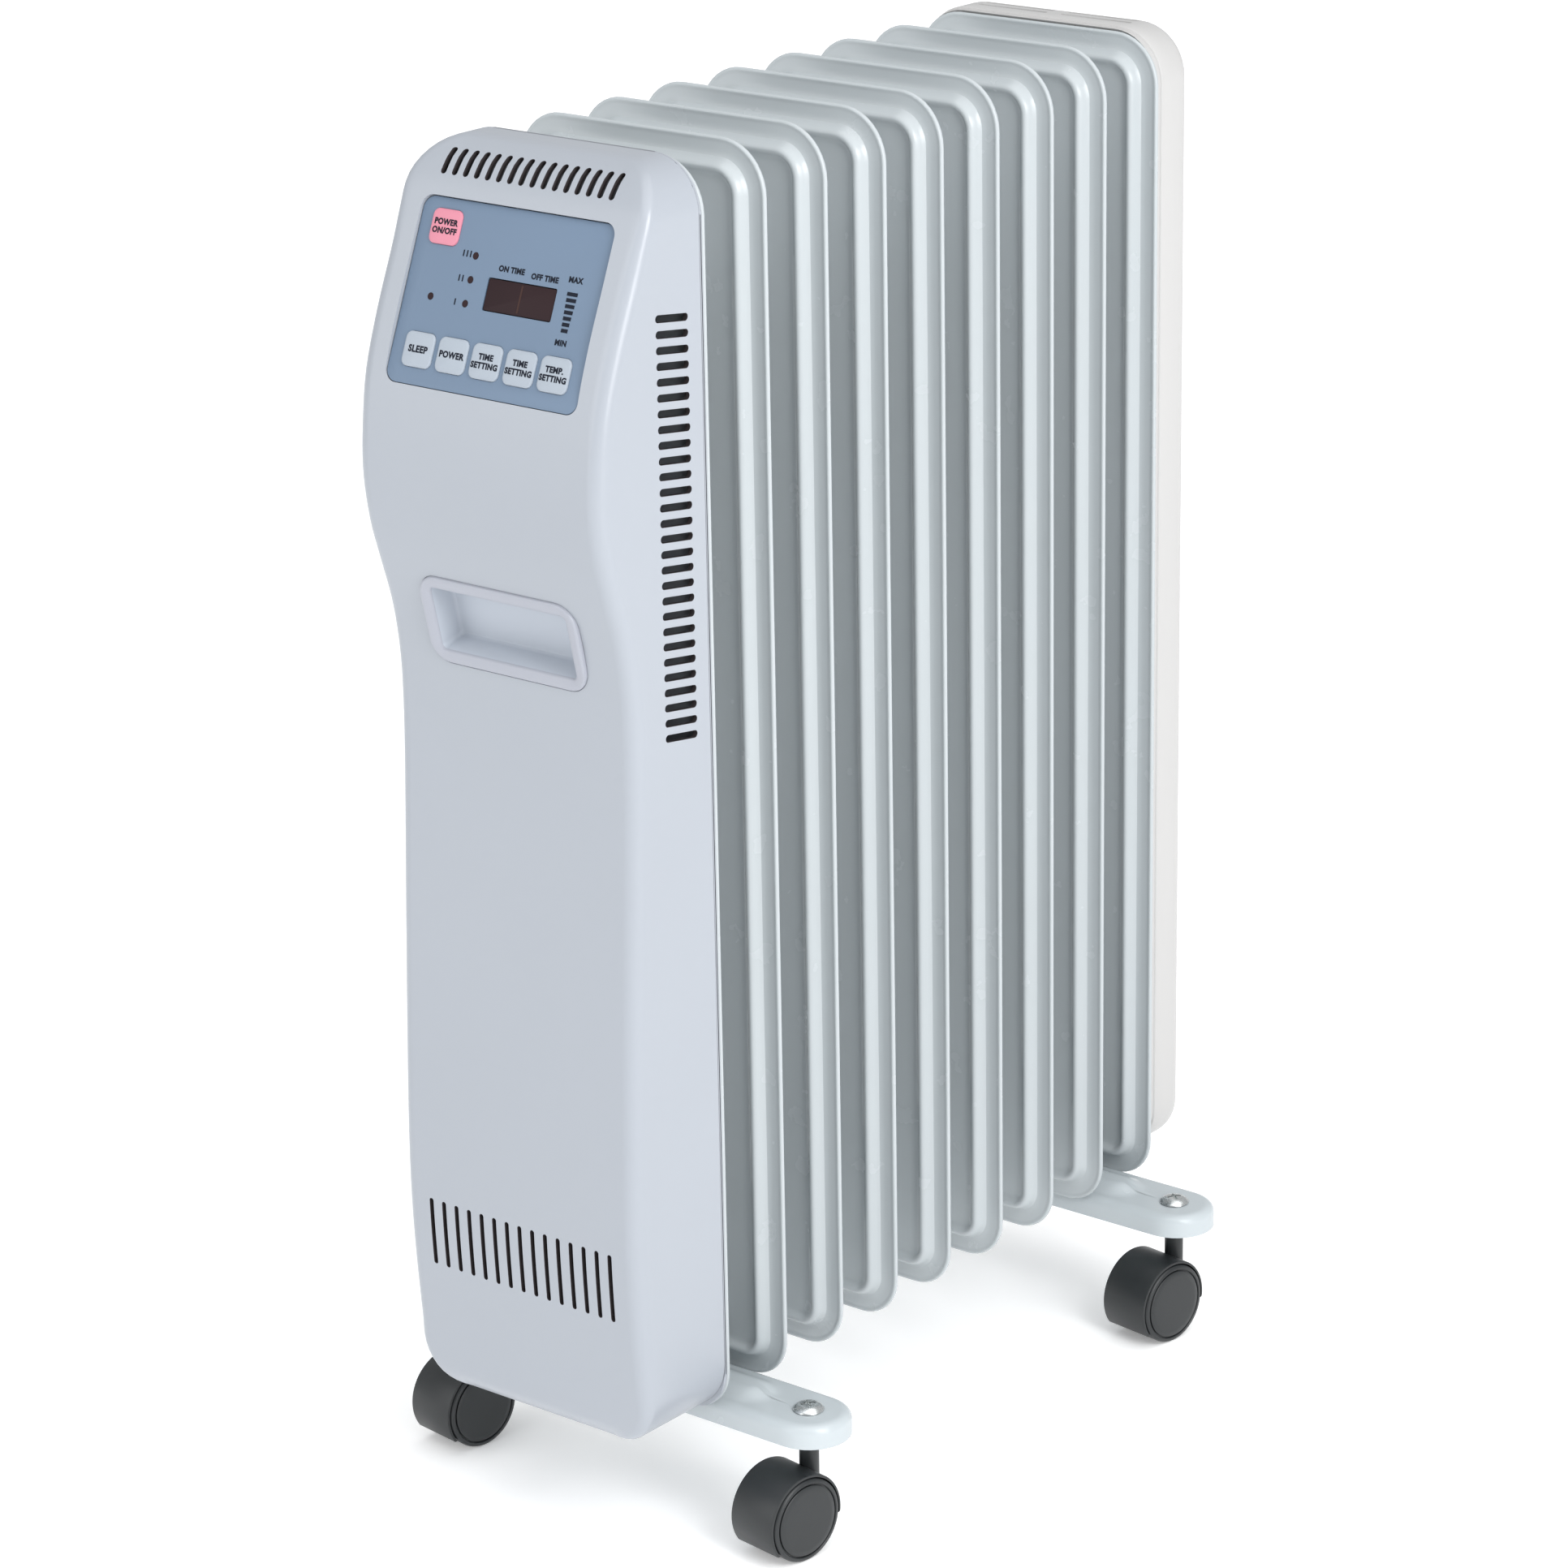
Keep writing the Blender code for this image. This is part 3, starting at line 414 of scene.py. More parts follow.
def fin_ring(inset, y, arc=10):
    return [
        (x, y, z)
        for x, z in rounded(
            FIN_WIDTH - 2 * inset, inset, FIN_HEIGHT - inset,
            max(FIN_TOP_R - inset, 0.0045), max(FIN_BOTTOM_R - inset, 0.0045), arc=arc, side=12,
        )
    ]


def collar_ring(height, radius, y, steps=40):
    return [
        (radius * math.cos(2 * math.pi * i / steps), y,
         height + radius * math.sin(2 * math.pi * i / steps))
        for i in range(steps)
    ]


def collar(height, side, reach):
    """A duct collar that flares out of the well on one side of the fin."""
    foot = [(DUCT_R + 0.0050, 0.0035), (DUCT_R + 0.0034, 0.0042), (DUCT_R + 0.0018, 0.0052),
            (DUCT_R + 0.0007, 0.0070), (DUCT_R, 0.0095)]
    rings = [collar_ring(height, r, side * y) for r, y in foot if y < reach - 0.001]
    rings.append(collar_ring(height, DUCT_R, side * (reach - 0.0006)))
    rings.append(collar_ring(height, DUCT_R - 0.0006, side * reach))
    return loft("collar", rings, "cap", "cap")


def make_fin(name, front, back):
    back_rings = [fin_ring(d / 1000, h / 1000) for d, h in reversed(FIN_PROFILE)]
    front_rings = [fin_ring(d / 1000, -h / 1000) for d, h in FIN_PROFILE[1:]]
    fin = loft(name, back_rings + front_rings, "cap", "cap")
    for height in DUCTS:
        for side, reach in ((-1, front), (1, back)):
            fin = boolean(fin, collar(height, side, reach), "UNION")
    return outward(fin)


reach = FIN_PITCH / 2 - GAP / 2
middle_fin = make_fin("heater_fin_2", reach, reach)
middle_mesh = middle_fin.data.copy()
for number in range(1, 10):
    if number == 1:
        fin = make_fin("heater_fin_1", 0.0079, reach)
    elif number == 2:
        fin = middle_fin
    elif number == 9:
        fin = make_fin("heater_fin_9", reach, 0.0132)
    else:
        fin = copied(f"heater_fin_{number}", middle_mesh)
    fin.data.transform(Matrix.Translation((0, FIN1_Y + (number - 1) * FIN_PITCH, FIN_LIFT)))
    finish(fin, FIN_PAINT, "heater", [f"fin_{number}"], 28)


# ---------------------------------------------------------------- housing: front cover
def smooth_line(controls, steps):
    ends = [controls[0], *controls, controls[-1]]
    points = []
    for p0, p1, p2, p3 in zip(ends, ends[1:], ends[2:], ends[3:]):
        for i in range(steps):
            t = i / steps
            points.append(tuple(
                0.5 * (2 * b + (c - a) * t + (2 * a - 5 * b + 4 * c - d) * t * t
                       + (3 * b - a - 3 * c + d) * t**3)
                for a, b, c, d in zip(p0, p1, p2, p3)
            ))
    return [*points, controls[-1]]


LINE = np.array(smooth_line(FRONT_LINE, 10))
LINE[:, 1] = np.maximum.accumulate(LINE[:, 1])
LINE[:, 0] = np.maximum(LINE[:, 0], 0)


def front_at(z):
    return FRONT_Y + float(np.interp(z, LINE[:, 1], LINE[:, 0]))


def edge_round(z):
    """The radius of the soft edge between the cover's front and its sides, less at both ends."""
    top = min(1.0, max(0.0, (HOUSING_HEIGHT - z) / 0.045))
    low = min(1.0, max(0.0, z / 0.03))
    return 0.0012 + 0.0058 * min(top, low) ** 0.5


def housing_outline(inset, r_bottom=COVER_BOTTOM_R, arc=10, side=110):
    return rounded(
        FIN_WIDTH - 2 * inset, inset, HOUSING_HEIGHT - inset,
        max(FIN_TOP_R - inset, 0.003), max(r_bottom - inset, 0.003), arc=arc, side=side,
    )


def cover_shell():
    rings = []
    edge = housing_outline(0)
    for share in (0.0, 0.25, 0.5, 0.75, 1.0):
        rings.append([
            (x, COVER_REAR_Y + (front_at(z) + edge_round(z) - COVER_REAR_Y) * share, z)
            for x, z in edge
        ])
    for turn in (15, 30, 45, 60, 75, 90):
        a = math.radians(turn)
        ring = []
        for (x, z), (ix, iz) in zip(edge, housing_outline(0.006)):
            r = edge_round(z)
            k = r / 0.006 * (1 - math.cos(a))
            px, pz = x + (ix - x) * k, z + (iz - z) * k
            ring.append((px, front_at(pz) + r * (1 - math.sin(a)), pz))
        rings.append(ring)
    for inset in (8, 9.5, 11, 13, 15, 17.5, 20, 23, 26, 30, 35, 41, 48, 56, 64):
        rings.append([(x, front_at(z), z) for x, z in housing_outline(inset / 1000)])
    return loft("front_cover", rings, None, "zip")


def shell_cutters():
    """The vents through the front cover: a low row, a column on each side and a row on top."""
    tools = []
    for i in range(15):
        tools.append(prism("tool", obround(0.0024, 0.033), -FRONT_Y - 0.03, -FRONT_Y + 0.01,
                           Matrix.Translation((0.0076 * (i - 7), 0, 0.0805)) @ AXIS_Y))
    for i in range(28):
        at = (Matrix.Translation((0, COVER_REAR_Y - 0.0193, 0.3315 + 0.00685 * i))
              @ Matrix.Rotation(SLOT_TILT, 4, "X"))
        across = Matrix.Rotation(math.radians(90), 4, "Z") @ AXIS_Y
        for low, high in ((-0.08, -0.06), (0.06, 0.08)):
            tools.append(prism("tool", obround(0.0214, 0.0034), low, high, at @ across))
    slope = Matrix.Rotation(math.radians(52), 4, "X")
    for i in range(16):
        at = Matrix.Translation((0.0063 * (i - 7.5), FRONT_Y + 0.0427, 0.5712))
        tools.append(prism("tool", obround(0.0031, 0.0135), -0.006, 0.010, at @ slope))
    return tools


def skin_tree(obj):
    """A search tree over the cover's outer skin, to tell the outer faces from those behind them."""
    work = bmesh.new()
    work.from_mesh(obj.data)
    work.transform(UP)
    tree = BVHTree.FromBMesh(work)
    work.free()
    return tree


def in_seat(point):
    """Whether a point lies on the shallow walls round the control panel or the grip, which keep the
    housing colour and get no painted shade.
    """
    at_panel, at_grip = PANEL_FRAME.inverted() @ point, GRIP_FRAME.inverted() @ point
    on_window = (abs(at_panel.x) < PANEL_W / 2 + 0.0005 and abs(at_panel.y) < PANEL_H / 2 + 0.0005
                 and at_panel.z > -0.0035)
    on_grip = (abs(at_grip.x) < SEAT_W / 2 + 0.0006 and abs(at_grip.y) < SEAT_HALF_H + 0.0006
               and at_grip.z > -0.0022)
    return on_window or on_grip


def paint_shade_inside(obj, skin, depth=0.0003):
    """Painted shade: the inner faces and the walls of the slots get a near-black material that
    stands in for the shade inside the housing, not the plastic's own colour.
    """
    obj.data.materials.append(PAINTED_SHADE_INSIDE)
    for face in obj.data.polygons:
        distance = skin.find_nearest(face.center)[3]
        if distance > depth and not in_seat(face.center):
            face.material_index = 1


cover = cover_shell()
outer_skin = skin_tree(cover)
cover = walled(cover, WALL, even=True)
tools = shell_cutters()
tools.append(prism("tool", rounded(PANEL_W, -PANEL_H / 2, PANEL_H / 2, PANEL_R, arc=10),
                   -0.008, 0.02, DOWN @ PANEL_FRAME))
tools.append(prism("tool", rounded(GRIP_HOLE_W, -GRIP_HOLE_HALF_H, GRIP_HOLE_HALF_H, GRIP_HOLE_R),
                   -0.012, 0.02, DOWN @ GRIP_FRAME))
cover = boolean(cover, merged("tools", tools))
cover = boolean(cover, prism("tool", rounded(SEAT_W, -SEAT_HALF_H, SEAT_HALF_H, SEAT_R, arc=10),
                             -0.0016, 0.02, DOWN @ GRIP_FRAME))
cover.data.transform(UP)
finish(cover, HOUSING, "heater", ["housing_front_cover"], 40)
# Paint shade onto the cover's inner faces and slot walls.
paint_shade_inside(cover, outer_skin)

# ---------------------------------------------------------------- housing: back tray
tray_rings = [
    [(x, y, z) for x, z in housing_outline(inset, radius, arc=12, side=1)]
    for inset, radius, y in (
        (0.0044, COVER_BOTTOM_R, COVER_REAR_Y + 0.0002),
        (0.0005, FIN_BOTTOM_R, COVER_REAR_Y + GAP),
        (0.0, FIN_BOTTOM_R, COVER_REAR_Y + GAP + 0.0005),
        (0.0, FIN_BOTTOM_R, COVER_REAR_Y + 0.0013),
        (0.0004, FIN_BOTTOM_R, COVER_REAR_Y + 0.0017),
    )
]
tray_rim = loft("back_tray_rim", tray_rings, "cap", "cap")
tray_rim.data.transform(UP)
hole_tools = [
    prism("tool", circle(radius, steps), -0.05, 0.05,
          Matrix.Translation((0, COVER_REAR_Y, FIN_LIFT + height)) @ AXIS_Y)
    for radius, steps, height in ((0.0145, 32, DUCTS[0]), (0.0064, 24, DUCTS[1]))
]
tray_rim = boolean(tray_rim, merged("tools", hole_tools))
finish(tray_rim, HOUSING, "heater")


# ---------------------------------------------------------------- control panel
def on_panel(x=0.0, y=0.0, z=0.0):
    return PANEL_FRAME @ Matrix.Translation((x, y, z))


def plate(name, outline, levels):
    """An outline given by a function of inset, raised through (inset, height) levels."""
    rings = [[(a, b, z) for a, b in outline(inset)] for inset, z in levels]
    return loft(name, rings, "cap", "cap")


DISPLAY_AT, DISPLAY_W, DISPLAY_H = (0.0102, 0.0030), 0.0382, 0.0139
LEVEL_BAR_AT = (0.0382, 0.0012)
LIGHTS = ((-0.0189, 0.0181), (-0.0189, 0.0077), (-0.0189, -0.0027), (-0.0389, -0.0021))
KEYS = {
    "power_key": (-0.0387, 0.0282), "sleep_key": (-2 * KEY_PITCH, KEY_ROW),
    "power_level_key": (-KEY_PITCH, KEY_ROW), "on_time_key": (0.0, KEY_ROW),
    "off_time_key": (KEY_PITCH, KEY_ROW), "temperature_key": (2 * KEY_PITCH, KEY_ROW),
}
KEY_WORDS = {
    "power_key": ("POWER", "ON/OFF"), "sleep_key": ("SLEEP",), "power_level_key": ("POWER",),
    "on_time_key": ("TIME", "SETTING"), "off_time_key": ("TIME", "SETTING"),
    "temperature_key": ("TEMP.", "SETTING"),
}


def key_outline(grow, arc=6):
    return rounded(KEY_W + 2 * grow, -KEY_H / 2 - grow, KEY_H / 2 + grow, KEY_R + grow, arc=arc)


def panel_openings():
    """What cuts the keys' and the display's openings through the panel."""
    tools = [
        prism("tool", [(x + kx, y + ky) for x, y in key_outline(KEY_GAP)], -0.01, 0.01)
        for kx, ky in KEYS.values()
    ]
    display = rounded(DISPLAY_W + 2 * GAP, -DISPLAY_H / 2 - GAP, DISPLAY_H / 2 + GAP, 0.0009, arc=4)
    tools.append(prism(
        "tool", [(x + DISPLAY_AT[0], y + DISPLAY_AT[1]) for x, y in display], -0.01, 0.01))
    return tools


panel = plate(
    "control_panel_film",
    lambda inset: rounded(PANEL_W - 2 * GAP - 2 * inset, -PANEL_H / 2 + GAP + inset,
                          PANEL_H / 2 - GAP - inset, PANEL_R - inset, arc=10),
    [(0.0, -0.0040), (0.0, -0.0004), (0.00012, -0.0001), (0.0004, 0.0)],
)
panel_tools = panel_openings()
for x, y in LIGHTS:
    panel_tools.append(prism("tool", circle(LAMP_HOLE_R, 24, x, y), -0.01, 0.01))
panel = boolean(panel, merged("tools", panel_tools))
flange = plate(
    "panel_flange",
    lambda inset: rounded(0.1134 - 2 * inset, -0.0431 + inset, 0.0431 - inset, 0.006, arc=6),
    [(0.0, -0.0050), (0.0, -0.0040)],
)
flange = boolean(flange, merged("tools", panel_openings()))
panel = merged("control_panel_film", [panel, flange])
panel.data.transform(PANEL_FRAME)
finish(panel, PANEL_BLUE, "heater", ["control_panel"])

window = plate(
    "smoked_display",
    lambda inset: rounded(DISPLAY_W - 2 * inset, -DISPLAY_H / 2 + inset, DISPLAY_H / 2 - inset,
                          0.0009 - inset, arc=4),
    [(0.0, -0.0058), (0.0, -0.0006), (0.0001, -0.0004), (0.0003, -0.0003)],
)
window.data.transform(on_panel(*DISPLAY_AT))
finish(window, DISPLAY, "heater", ["display_window"])
divider = prism(
    "display_divider",
    rounded(0.0009, -DISPLAY_H / 2 + 0.001, DISPLAY_H / 2 - 0.001, 0.0002, arc=2),
    -0.0004, -0.00024, on_panel(*DISPLAY_AT),
)
DIVIDER = surface("display_divider", (0.050, 0.026, 0.022), 0.5, tone=0.05, bump=0.0, specular=0.12)
finish(divider, DIVIDER, "heater")

lamps = merged("indicator_lamps", [
    prism("lamp", circle(LAMP_R, 24, x, y), -0.004, 0.0001) for x, y in LIGHTS
])
lamps.data.transform(PANEL_FRAME)
finish(lamps, DISPLAY, "heater", ["indicator_light_guide"])

level_marks = merged("level_marks", [
    prism("mark", [(LEVEL_BAR_AT[0] + sx * (0.0018 + 0.00018 * i),
                    LEVEL_BAR_AT[1] + (i - 3) * 0.0026 + sy * 0.0008)
                   for sx, sy in ((-1, -1), (1, -1), (1, 1), (-1, 1))], -0.0002, 0.00012)
    for i in range(7)
])
level_marks.data.transform(PANEL_FRAME)
finish(level_marks, INK, "heater", ["level_light_guide"])


def lettering(name, lines, size, at, height, spread=WORD_SPREAD):
    """Printed words as a thin raised mesh on the panel."""
    made = []
    for i, words in enumerate(lines):
        curve = bpy.data.curves.new(name, "FONT")
        curve.body = words
        curve.size = size
        curve.align_x = "CENTER"
        curve.align_y = "CENTER"
        curve.space_character = spread
        curve.extrude = 0.00003
        curve.offset = 0.00017
        curve.resolution_u = 3
        text = bpy.data.objects.new(name, curve)
        bpy.context.scene.collection.objects.link(text)
        bpy.context.view_layer.update()
        graph = bpy.context.evaluated_depsgraph_get()
        mesh = bpy.data.meshes.new_from_object(text.evaluated_get(graph))
        bpy.data.objects.remove(text, do_unlink=True)
        below = (i - (len(lines) - 1) / 2) * size * LINE_SPACING
        mesh.transform(Matrix.Translation((0, -below, height)))
        piece = bpy.data.objects.new(name, mesh)
        bpy.context.scene.collection.objects.link(piece)
        made.append(piece)
    made = merged(name, made)
    made.data.transform(on_panel(*at))
    return made


words = [
    lettering("word", [text], size, at, 0.00004,
              NUMERAL_SPREAD if text[0] == "I" else WORD_SPREAD)
    for text, size, at in (
        ("III", 0.0036, (-0.0238, 0.0184)), ("II", 0.0036, (-0.0243, 0.0077)),
        ("I", 0.0036, (-0.0247, -0.0027)), ("ON TIME", 0.0034, (0.0026, 0.0146)),
        ("OFF TIME", 0.0034, (0.0215, 0.0136)), ("MAX", 0.0034, (0.0383, 0.0150)),
        ("MIN", 0.0034, (0.0377, -0.0120)),
    )
]
finish(merged("panel_words", words), INK, "heater")

for name, (x, y) in KEYS.items():
    cap = plate(
        name.replace("_key", "_button"), lambda inset: key_outline(-inset),
        [(-0.0009, -0.0065), (-0.0009, -0.0053), (0.0, -0.0053), (0.0, 0.0003), (0.0001, 0.0006),
         (0.0004, 0.00083), (0.0009, 0.0009)],
    )
    cap.data.transform(on_panel(x, y))
    pink = name == "power_key"
    finish(cap, KEY_PINK if pink else KEY_PALE, name, [name])
    size = {"sleep_key": 0.0041, "power_level_key": 0.0038}.get(name, 0.0036)
    print_on = lettering(name.replace("_key", "_key_words"), KEY_WORDS[name], size, (x, y), 0.00094)
    finish(print_on, INK, name)


# ---------------------------------------------------------------- grip
def grip_outline(inset, arc=10):
    return rounded(0.090 - 2 * inset, -0.0213 + inset, 0.0213 - inset,
                   max(0.0106 - 1.35 * inset, 0.0022), arc=arc)


grip = plate("grip_recess", grip_outline, [
    (0.0040, -0.0144), (0.0040, -0.0013), (0.0, -0.0013), (0.0, 0.0002), (0.0003, 0.0008),
    (0.0009, 0.00115), (0.0016, 0.0012), (0.0052, 0.0006), (0.0058, 0.0002), (0.0062, -0.0006),
    (0.0074, -0.0105), (0.0077, -0.0115), (0.0083, -0.0122), (0.0094, -0.0125),
])
# The faces inside the cup, which get the painted-light copy of the grip plastic.
painted_light_cup_faces = [
    face.center.z < -0.0008
    and max(abs(face.center.x) / CUP_HALF_W, abs(face.center.y) / CUP_HALF_H) < 1.0
    for face in grip.data.polygons
]
grip.data.transform(GRIP_FRAME)
finish(grip, GRIP, "heater", ["grip_cup"])
grip.data.materials.append(PAINTED_LIGHT_CUP)
for face, inside in zip(grip.data.polygons, painted_light_cup_faces):
    face.material_index = 1 if inside else 0


# ---------------------------------------------------------------- rear cover
LIP_Y = FIN1_Y + 8 * FIN_PITCH + 0.0004  # the lip laps the back half of the last rim


def rear_ring(inset, y, arc=10):
    return [
        (x, y, z) for x, z in rounded(
            FIN_WIDTH - 2 * inset, 0.014 + inset, 0.582 - inset, max(0.025 - inset, 0.003),
            max(0.023 - inset, 0.003), arc=arc, side=10)
    ]


rear_levels = [
    (0.0011, LIP_Y), (0.0009, LIP_Y + 0.0002), (0.0009, LIP_Y + 0.0030),
    (0.0002, LIP_Y + 0.0033), (0.0, LIP_Y + 0.0036), (0.0, LIP_Y + 0.012),
]
rear_levels += [
    (REAR_ROUND * (1 - math.cos(math.radians(a))),
     REAR_Y - REAR_ROUND * (1 - math.sin(math.radians(a))))
    for a in range(0, 91, 9)
]
rear = loft("end_cover", [rear_ring(i, y) for i, y in rear_levels], None, "cap")
rear = walled(rear, WALL)
rear_tools = [
    prism("tool", rounded(0.042, -0.00125, 0.00125, 0.0012, arc=3), 0.5813, 0.60,
          Matrix.Translation((sx * 0.0245, REAR_Y - depth, 0)))
    for sx in (-1, 1) for depth in (0.0105, 0.0165)
]
rear_tools += [
    prism("tool", obround(0.070, 0.0035), -0.01, 0.01, Matrix.Translation((0, REAR_Y, z)) @ AXIS_Y)
    for low in (0.10, 0.42) for z in [low + 0.012 * i for i in range(6)]
]
for height in DUCTS:
    rear_tools.append(prism("tool", circle(SCREW_SINK_R, 32), -0.01, 0.01,
                            Matrix.Translation((0, REAR_Y, height)) @ AXIS_Y))
rear = boolean(rear, merged("tools", rear_tools))
bosses = []
for height in DUCTS:
    boss = turned("boss", [(0.0024, -0.0205), (0.0070, -0.0205), (0.0070, -0.0015),
                           (SCREW_SINK_R, -0.0029), (0.0024, -0.0029), (0.0024, -0.0205)], 32)
    boss.data.transform(Matrix.Translation((0, REAR_Y, height))
                        @ Matrix.Rotation(math.radians(-90), 4, "X"))
    bosses.append(boss)
rear = merged("end_cover", [rear, *bosses])
rear.data.transform(UP)
finish(rear, COVER_PLASTIC, "heater", ["rear_cover"], 35)


def cross_head(name, profile, steps, arm, width, depth_from, depth_to):
    """A turned screw with a cross recess in its head."""
    screw = turned(name, profile, steps)
    for turn in (0, 90):
        slot = prism("tool", [(arm, -width), (arm, width), (-arm, width), (-arm, -width)],
                     depth_from, depth_to, Matrix.Rotation(math.radians(turn), 4, "Z"))
        screw = boolean(screw, slot)
    return screw


for name, height in (("rear_cover_screw_low", DUCTS[0]), ("rear_cover_screw_high", DUCTS[1])):
    screw = cross_head(
        name.replace("rear_cover_screw", "cover_screw"),
        [(0, 0.0024), (0.0020, 0.00235), (0.0034, 0.0020), (0.0042, 0.0013), (0.0044, 0.0004),
         (0.0044, 0), (0.0020, 0), (0.0020, -0.018), (0, -0.018)],
        32, 0.0024, 0.0005, 0.0012, 0.004)
    screw.data.transform(Matrix.Translation((0, REAR_Y - 0.003 + GAP, FIN_LIFT + height))
                         @ Matrix.Rotation(math.radians(-90), 4, "X"))
    finish(screw, STEEL, "heater", [name])


# ---------------------------------------------------------------- foot bars
def stadium(half_length, half_width, steps=18, straight=90):
    centre = half_length - half_width
    points = []
    for side in (1, -1):
        points += [
            (side * (centre + half_width * math.cos(math.radians(-90 + 180 * i / steps))),
             side * half_width * math.sin(math.radians(-90 + 180 * i / steps)))
            for i in range(steps + 1)
        ]
        points += [
            (side * centre * (1 - 2 * i / straight), side * half_width) for i in range(1, straight)
        ]
    return points


def rib_height(x, y):
    """The height of the foot bar's pressed middle rib."""
    centre = RIB_HALF_LENGTH - RIB_HALF_WIDTH
    away = math.hypot(max(abs(x) - centre, 0.0), y)
    t = min(1.0, max(0.0, (RIB_HALF_WIDTH - away) / RIB_FALL))
    return RIB_HEIGHT * t * t * (3 - 2 * t)


def foot_ring(inset, z, top):
    # Every ring has the same middle length, so the points of all of them line up.
    return [
        (x, y, z + (rib_height(x, y) if top else 0.0))
        for x, y in stadium(FOOT_HALF_LENGTH - inset, FOOT_HALF_WIDTH - inset)
    ]


def make_foot(name):
    levels = [(0.0, -0.0080, False), (0.0, FOOT_EDGE_Z, False)]
    levels += [
        (FOOT_EDGE_R * (1 - math.cos(math.radians(a))),
         FOOT_EDGE_Z + FOOT_EDGE_R * math.sin(math.radians(a)), True)
        for a in (12, 24, 36, 48, 60, 75, 90)
    ]
    levels += [
        (inset / 1000, FOOT_TOP, True)
        for inset in (5.5, 6.6, 7.4, 8.2, 9, 9.8, 10.6, 11.4, 12.3, 13.2, 14.2, 15.4, 16.6, 17.8)
    ]
    made = walled(loft(name, [foot_ring(*level) for level in levels], None, "cap"), FOOT_WALL)
    tools = [
        prism("tool", circle(r, 24, sx * x), -0.02, 0.02)
        for sx in (-1, 1) for x, r in ((CASTER_X, 0.0028), (LEG_X, 0.0033))
    ]
    return boolean(made, merged("tools", tools))


for end, y in FOOT_Y.items():
    foot = make_foot(f"foot_{end}")
    foot.data.transform(Matrix.Translation((0, y, FIN_LIFT)))
    finish(foot, FOOT_PAINT, "heater", [f"foot_bar_{end}"], 40)

# ---------------------------------------------------------------- U-bolts and wing nuts
WING = [(0.0040, -0.0068), (0.0070, -0.0088), (0.0100, -0.0095), (0.0120, -0.0090),
        (0.0125, -0.0072), (0.0118, -0.0050), (0.0095, -0.0032), (0.0045, -0.0020)]
for end, y in FOOT_Y.items():
    path = [(-LEG_X, -0.010), (-LEG_X, DUCTS[0])]
    path += [(-LEG_X * math.cos(math.radians(a)), DUCTS[0] + LEG_X * math.sin(math.radians(a)))
             for a in range(6, 175, 6)]
    path += [(LEG_X, DUCTS[0]), (LEG_X, -0.010)]
    rings = []
    for i, (x, z) in enumerate(path):
        (ax, az), (bx, bz) = path[max(i - 1, 0)], path[min(i + 1, len(path) - 1)]
        along = Vector((bx - ax, 0, bz - az)).normalized()
        side = Vector((along.z, 0, -along.x))
        rings.append([
            Vector((x, y, z + FIN_LIFT)) + side * BOLT_R * math.cos(a)
            + Vector((0, BOLT_R * math.sin(a), 0))
            for a in angles(16)
        ])
    bolt = loft(f"strap_bolt_{end}", rings, "cap", "cap")
    finish(bolt, STEEL, "heater", [f"u_bolt_{end}"], 50)
    for side, sign in SIDES.items():
        hub = turned("hub", [(0.0033, -GAP), (0.0048, -GAP), (0.0052, -0.0008), (0.0044, -0.0068),
                             (0.0040, -0.0075), (0.0033, -0.0075), (0.0033, -GAP)], 32)
        wings = [
            prism("wing", WING, -0.0011, 0.0011,
                  Matrix.Rotation(math.radians(turn), 4, "Z") @ AXIS_Y)
            for turn in (0, 180)
        ]
        nut = merged(f"wing_{end}_{side}", [hub, *[bevel(w, 0.0004, 2) for w in wings]])
        nut.data.transform(Matrix.Translation((sign * LEG_X, y, FIN_LIFT + FOOT_TOP + 0.002)))
        finish(nut, STEEL, "heater", [f"wing_nut_{end}_{side}"])


# ---------------------------------------------------------------- casters
def make_hood(name):
    line = [(HOOD_R * math.cos(math.radians(a)), HOOD_R * math.sin(math.radians(a)))
            for a in range(-8, 218, 4)]
    line += [(-0.010, -0.0120), (0.002, -0.0080), (0.012, -0.0060)]
    across = Matrix(((0, 0, 1, 0), (1, 0, 0, 0), (0, 1, 0, 0), (0, 0, 0, 1)))
    hood = bevel(prism(name, tidy(line), -0.0135, 0.0135, across), 0.0006, 2, 50)
    stem_top = FOOT_TOP + FIN_LIFT - 0.002 - GAP - WHEEL_R
    stem = prism("stem", circle(STEM_R, 32, 0.0, TRAIL), 0.008, stem_top)
    hood = boolean(hood, stem, "UNION")
    for low, high in ((0.0027, 0.020), (-0.020, -0.0027)):
        hood = boolean(hood, prism("tool", circle(WHEEL_R + 0.0006, 64), low, high, across))
    return hood


WHEEL_PROFILE = [
    (0, 0.01496), (0.0080, 0.01494), (0.0140, 0.01482), (0.0166, 0.01462), (0.0170, 0.0143),
    (0.0171, 0.0135), (0.0176, 0.0135), (0.0177, 0.0142), (0.0181, 0.0145), (0.0191, 0.0143),
    (0.0197, 0.0138), (0.0200, 0.0130), (0.0200, 0.0040), (0.0198, 0.0034), (0.0192, 0.0030),
    (0.0023, 0.0030), (0.0023, 0.0128), (0, 0.0128),
]
hood_shape = make_hood("hood")
wheel_shape = turned("wheel", WHEEL_PROFILE, 72)
stud_shape = cross_head(
    "stud",
    [(0, 0.0030), (0.0020, 0.00295), (0.0040, 0.0026), (0.0056, 0.0019), (0.0067, 0.0010),
     (0.0072, 0.0004), (0.0073, 0.0001), (0.0071, 0.0), (0.0025, 0.0), (0.0025, -0.015),
     (0, -0.015)],
    48, 0.0034, 0.0006, 0.0014, 0.005)
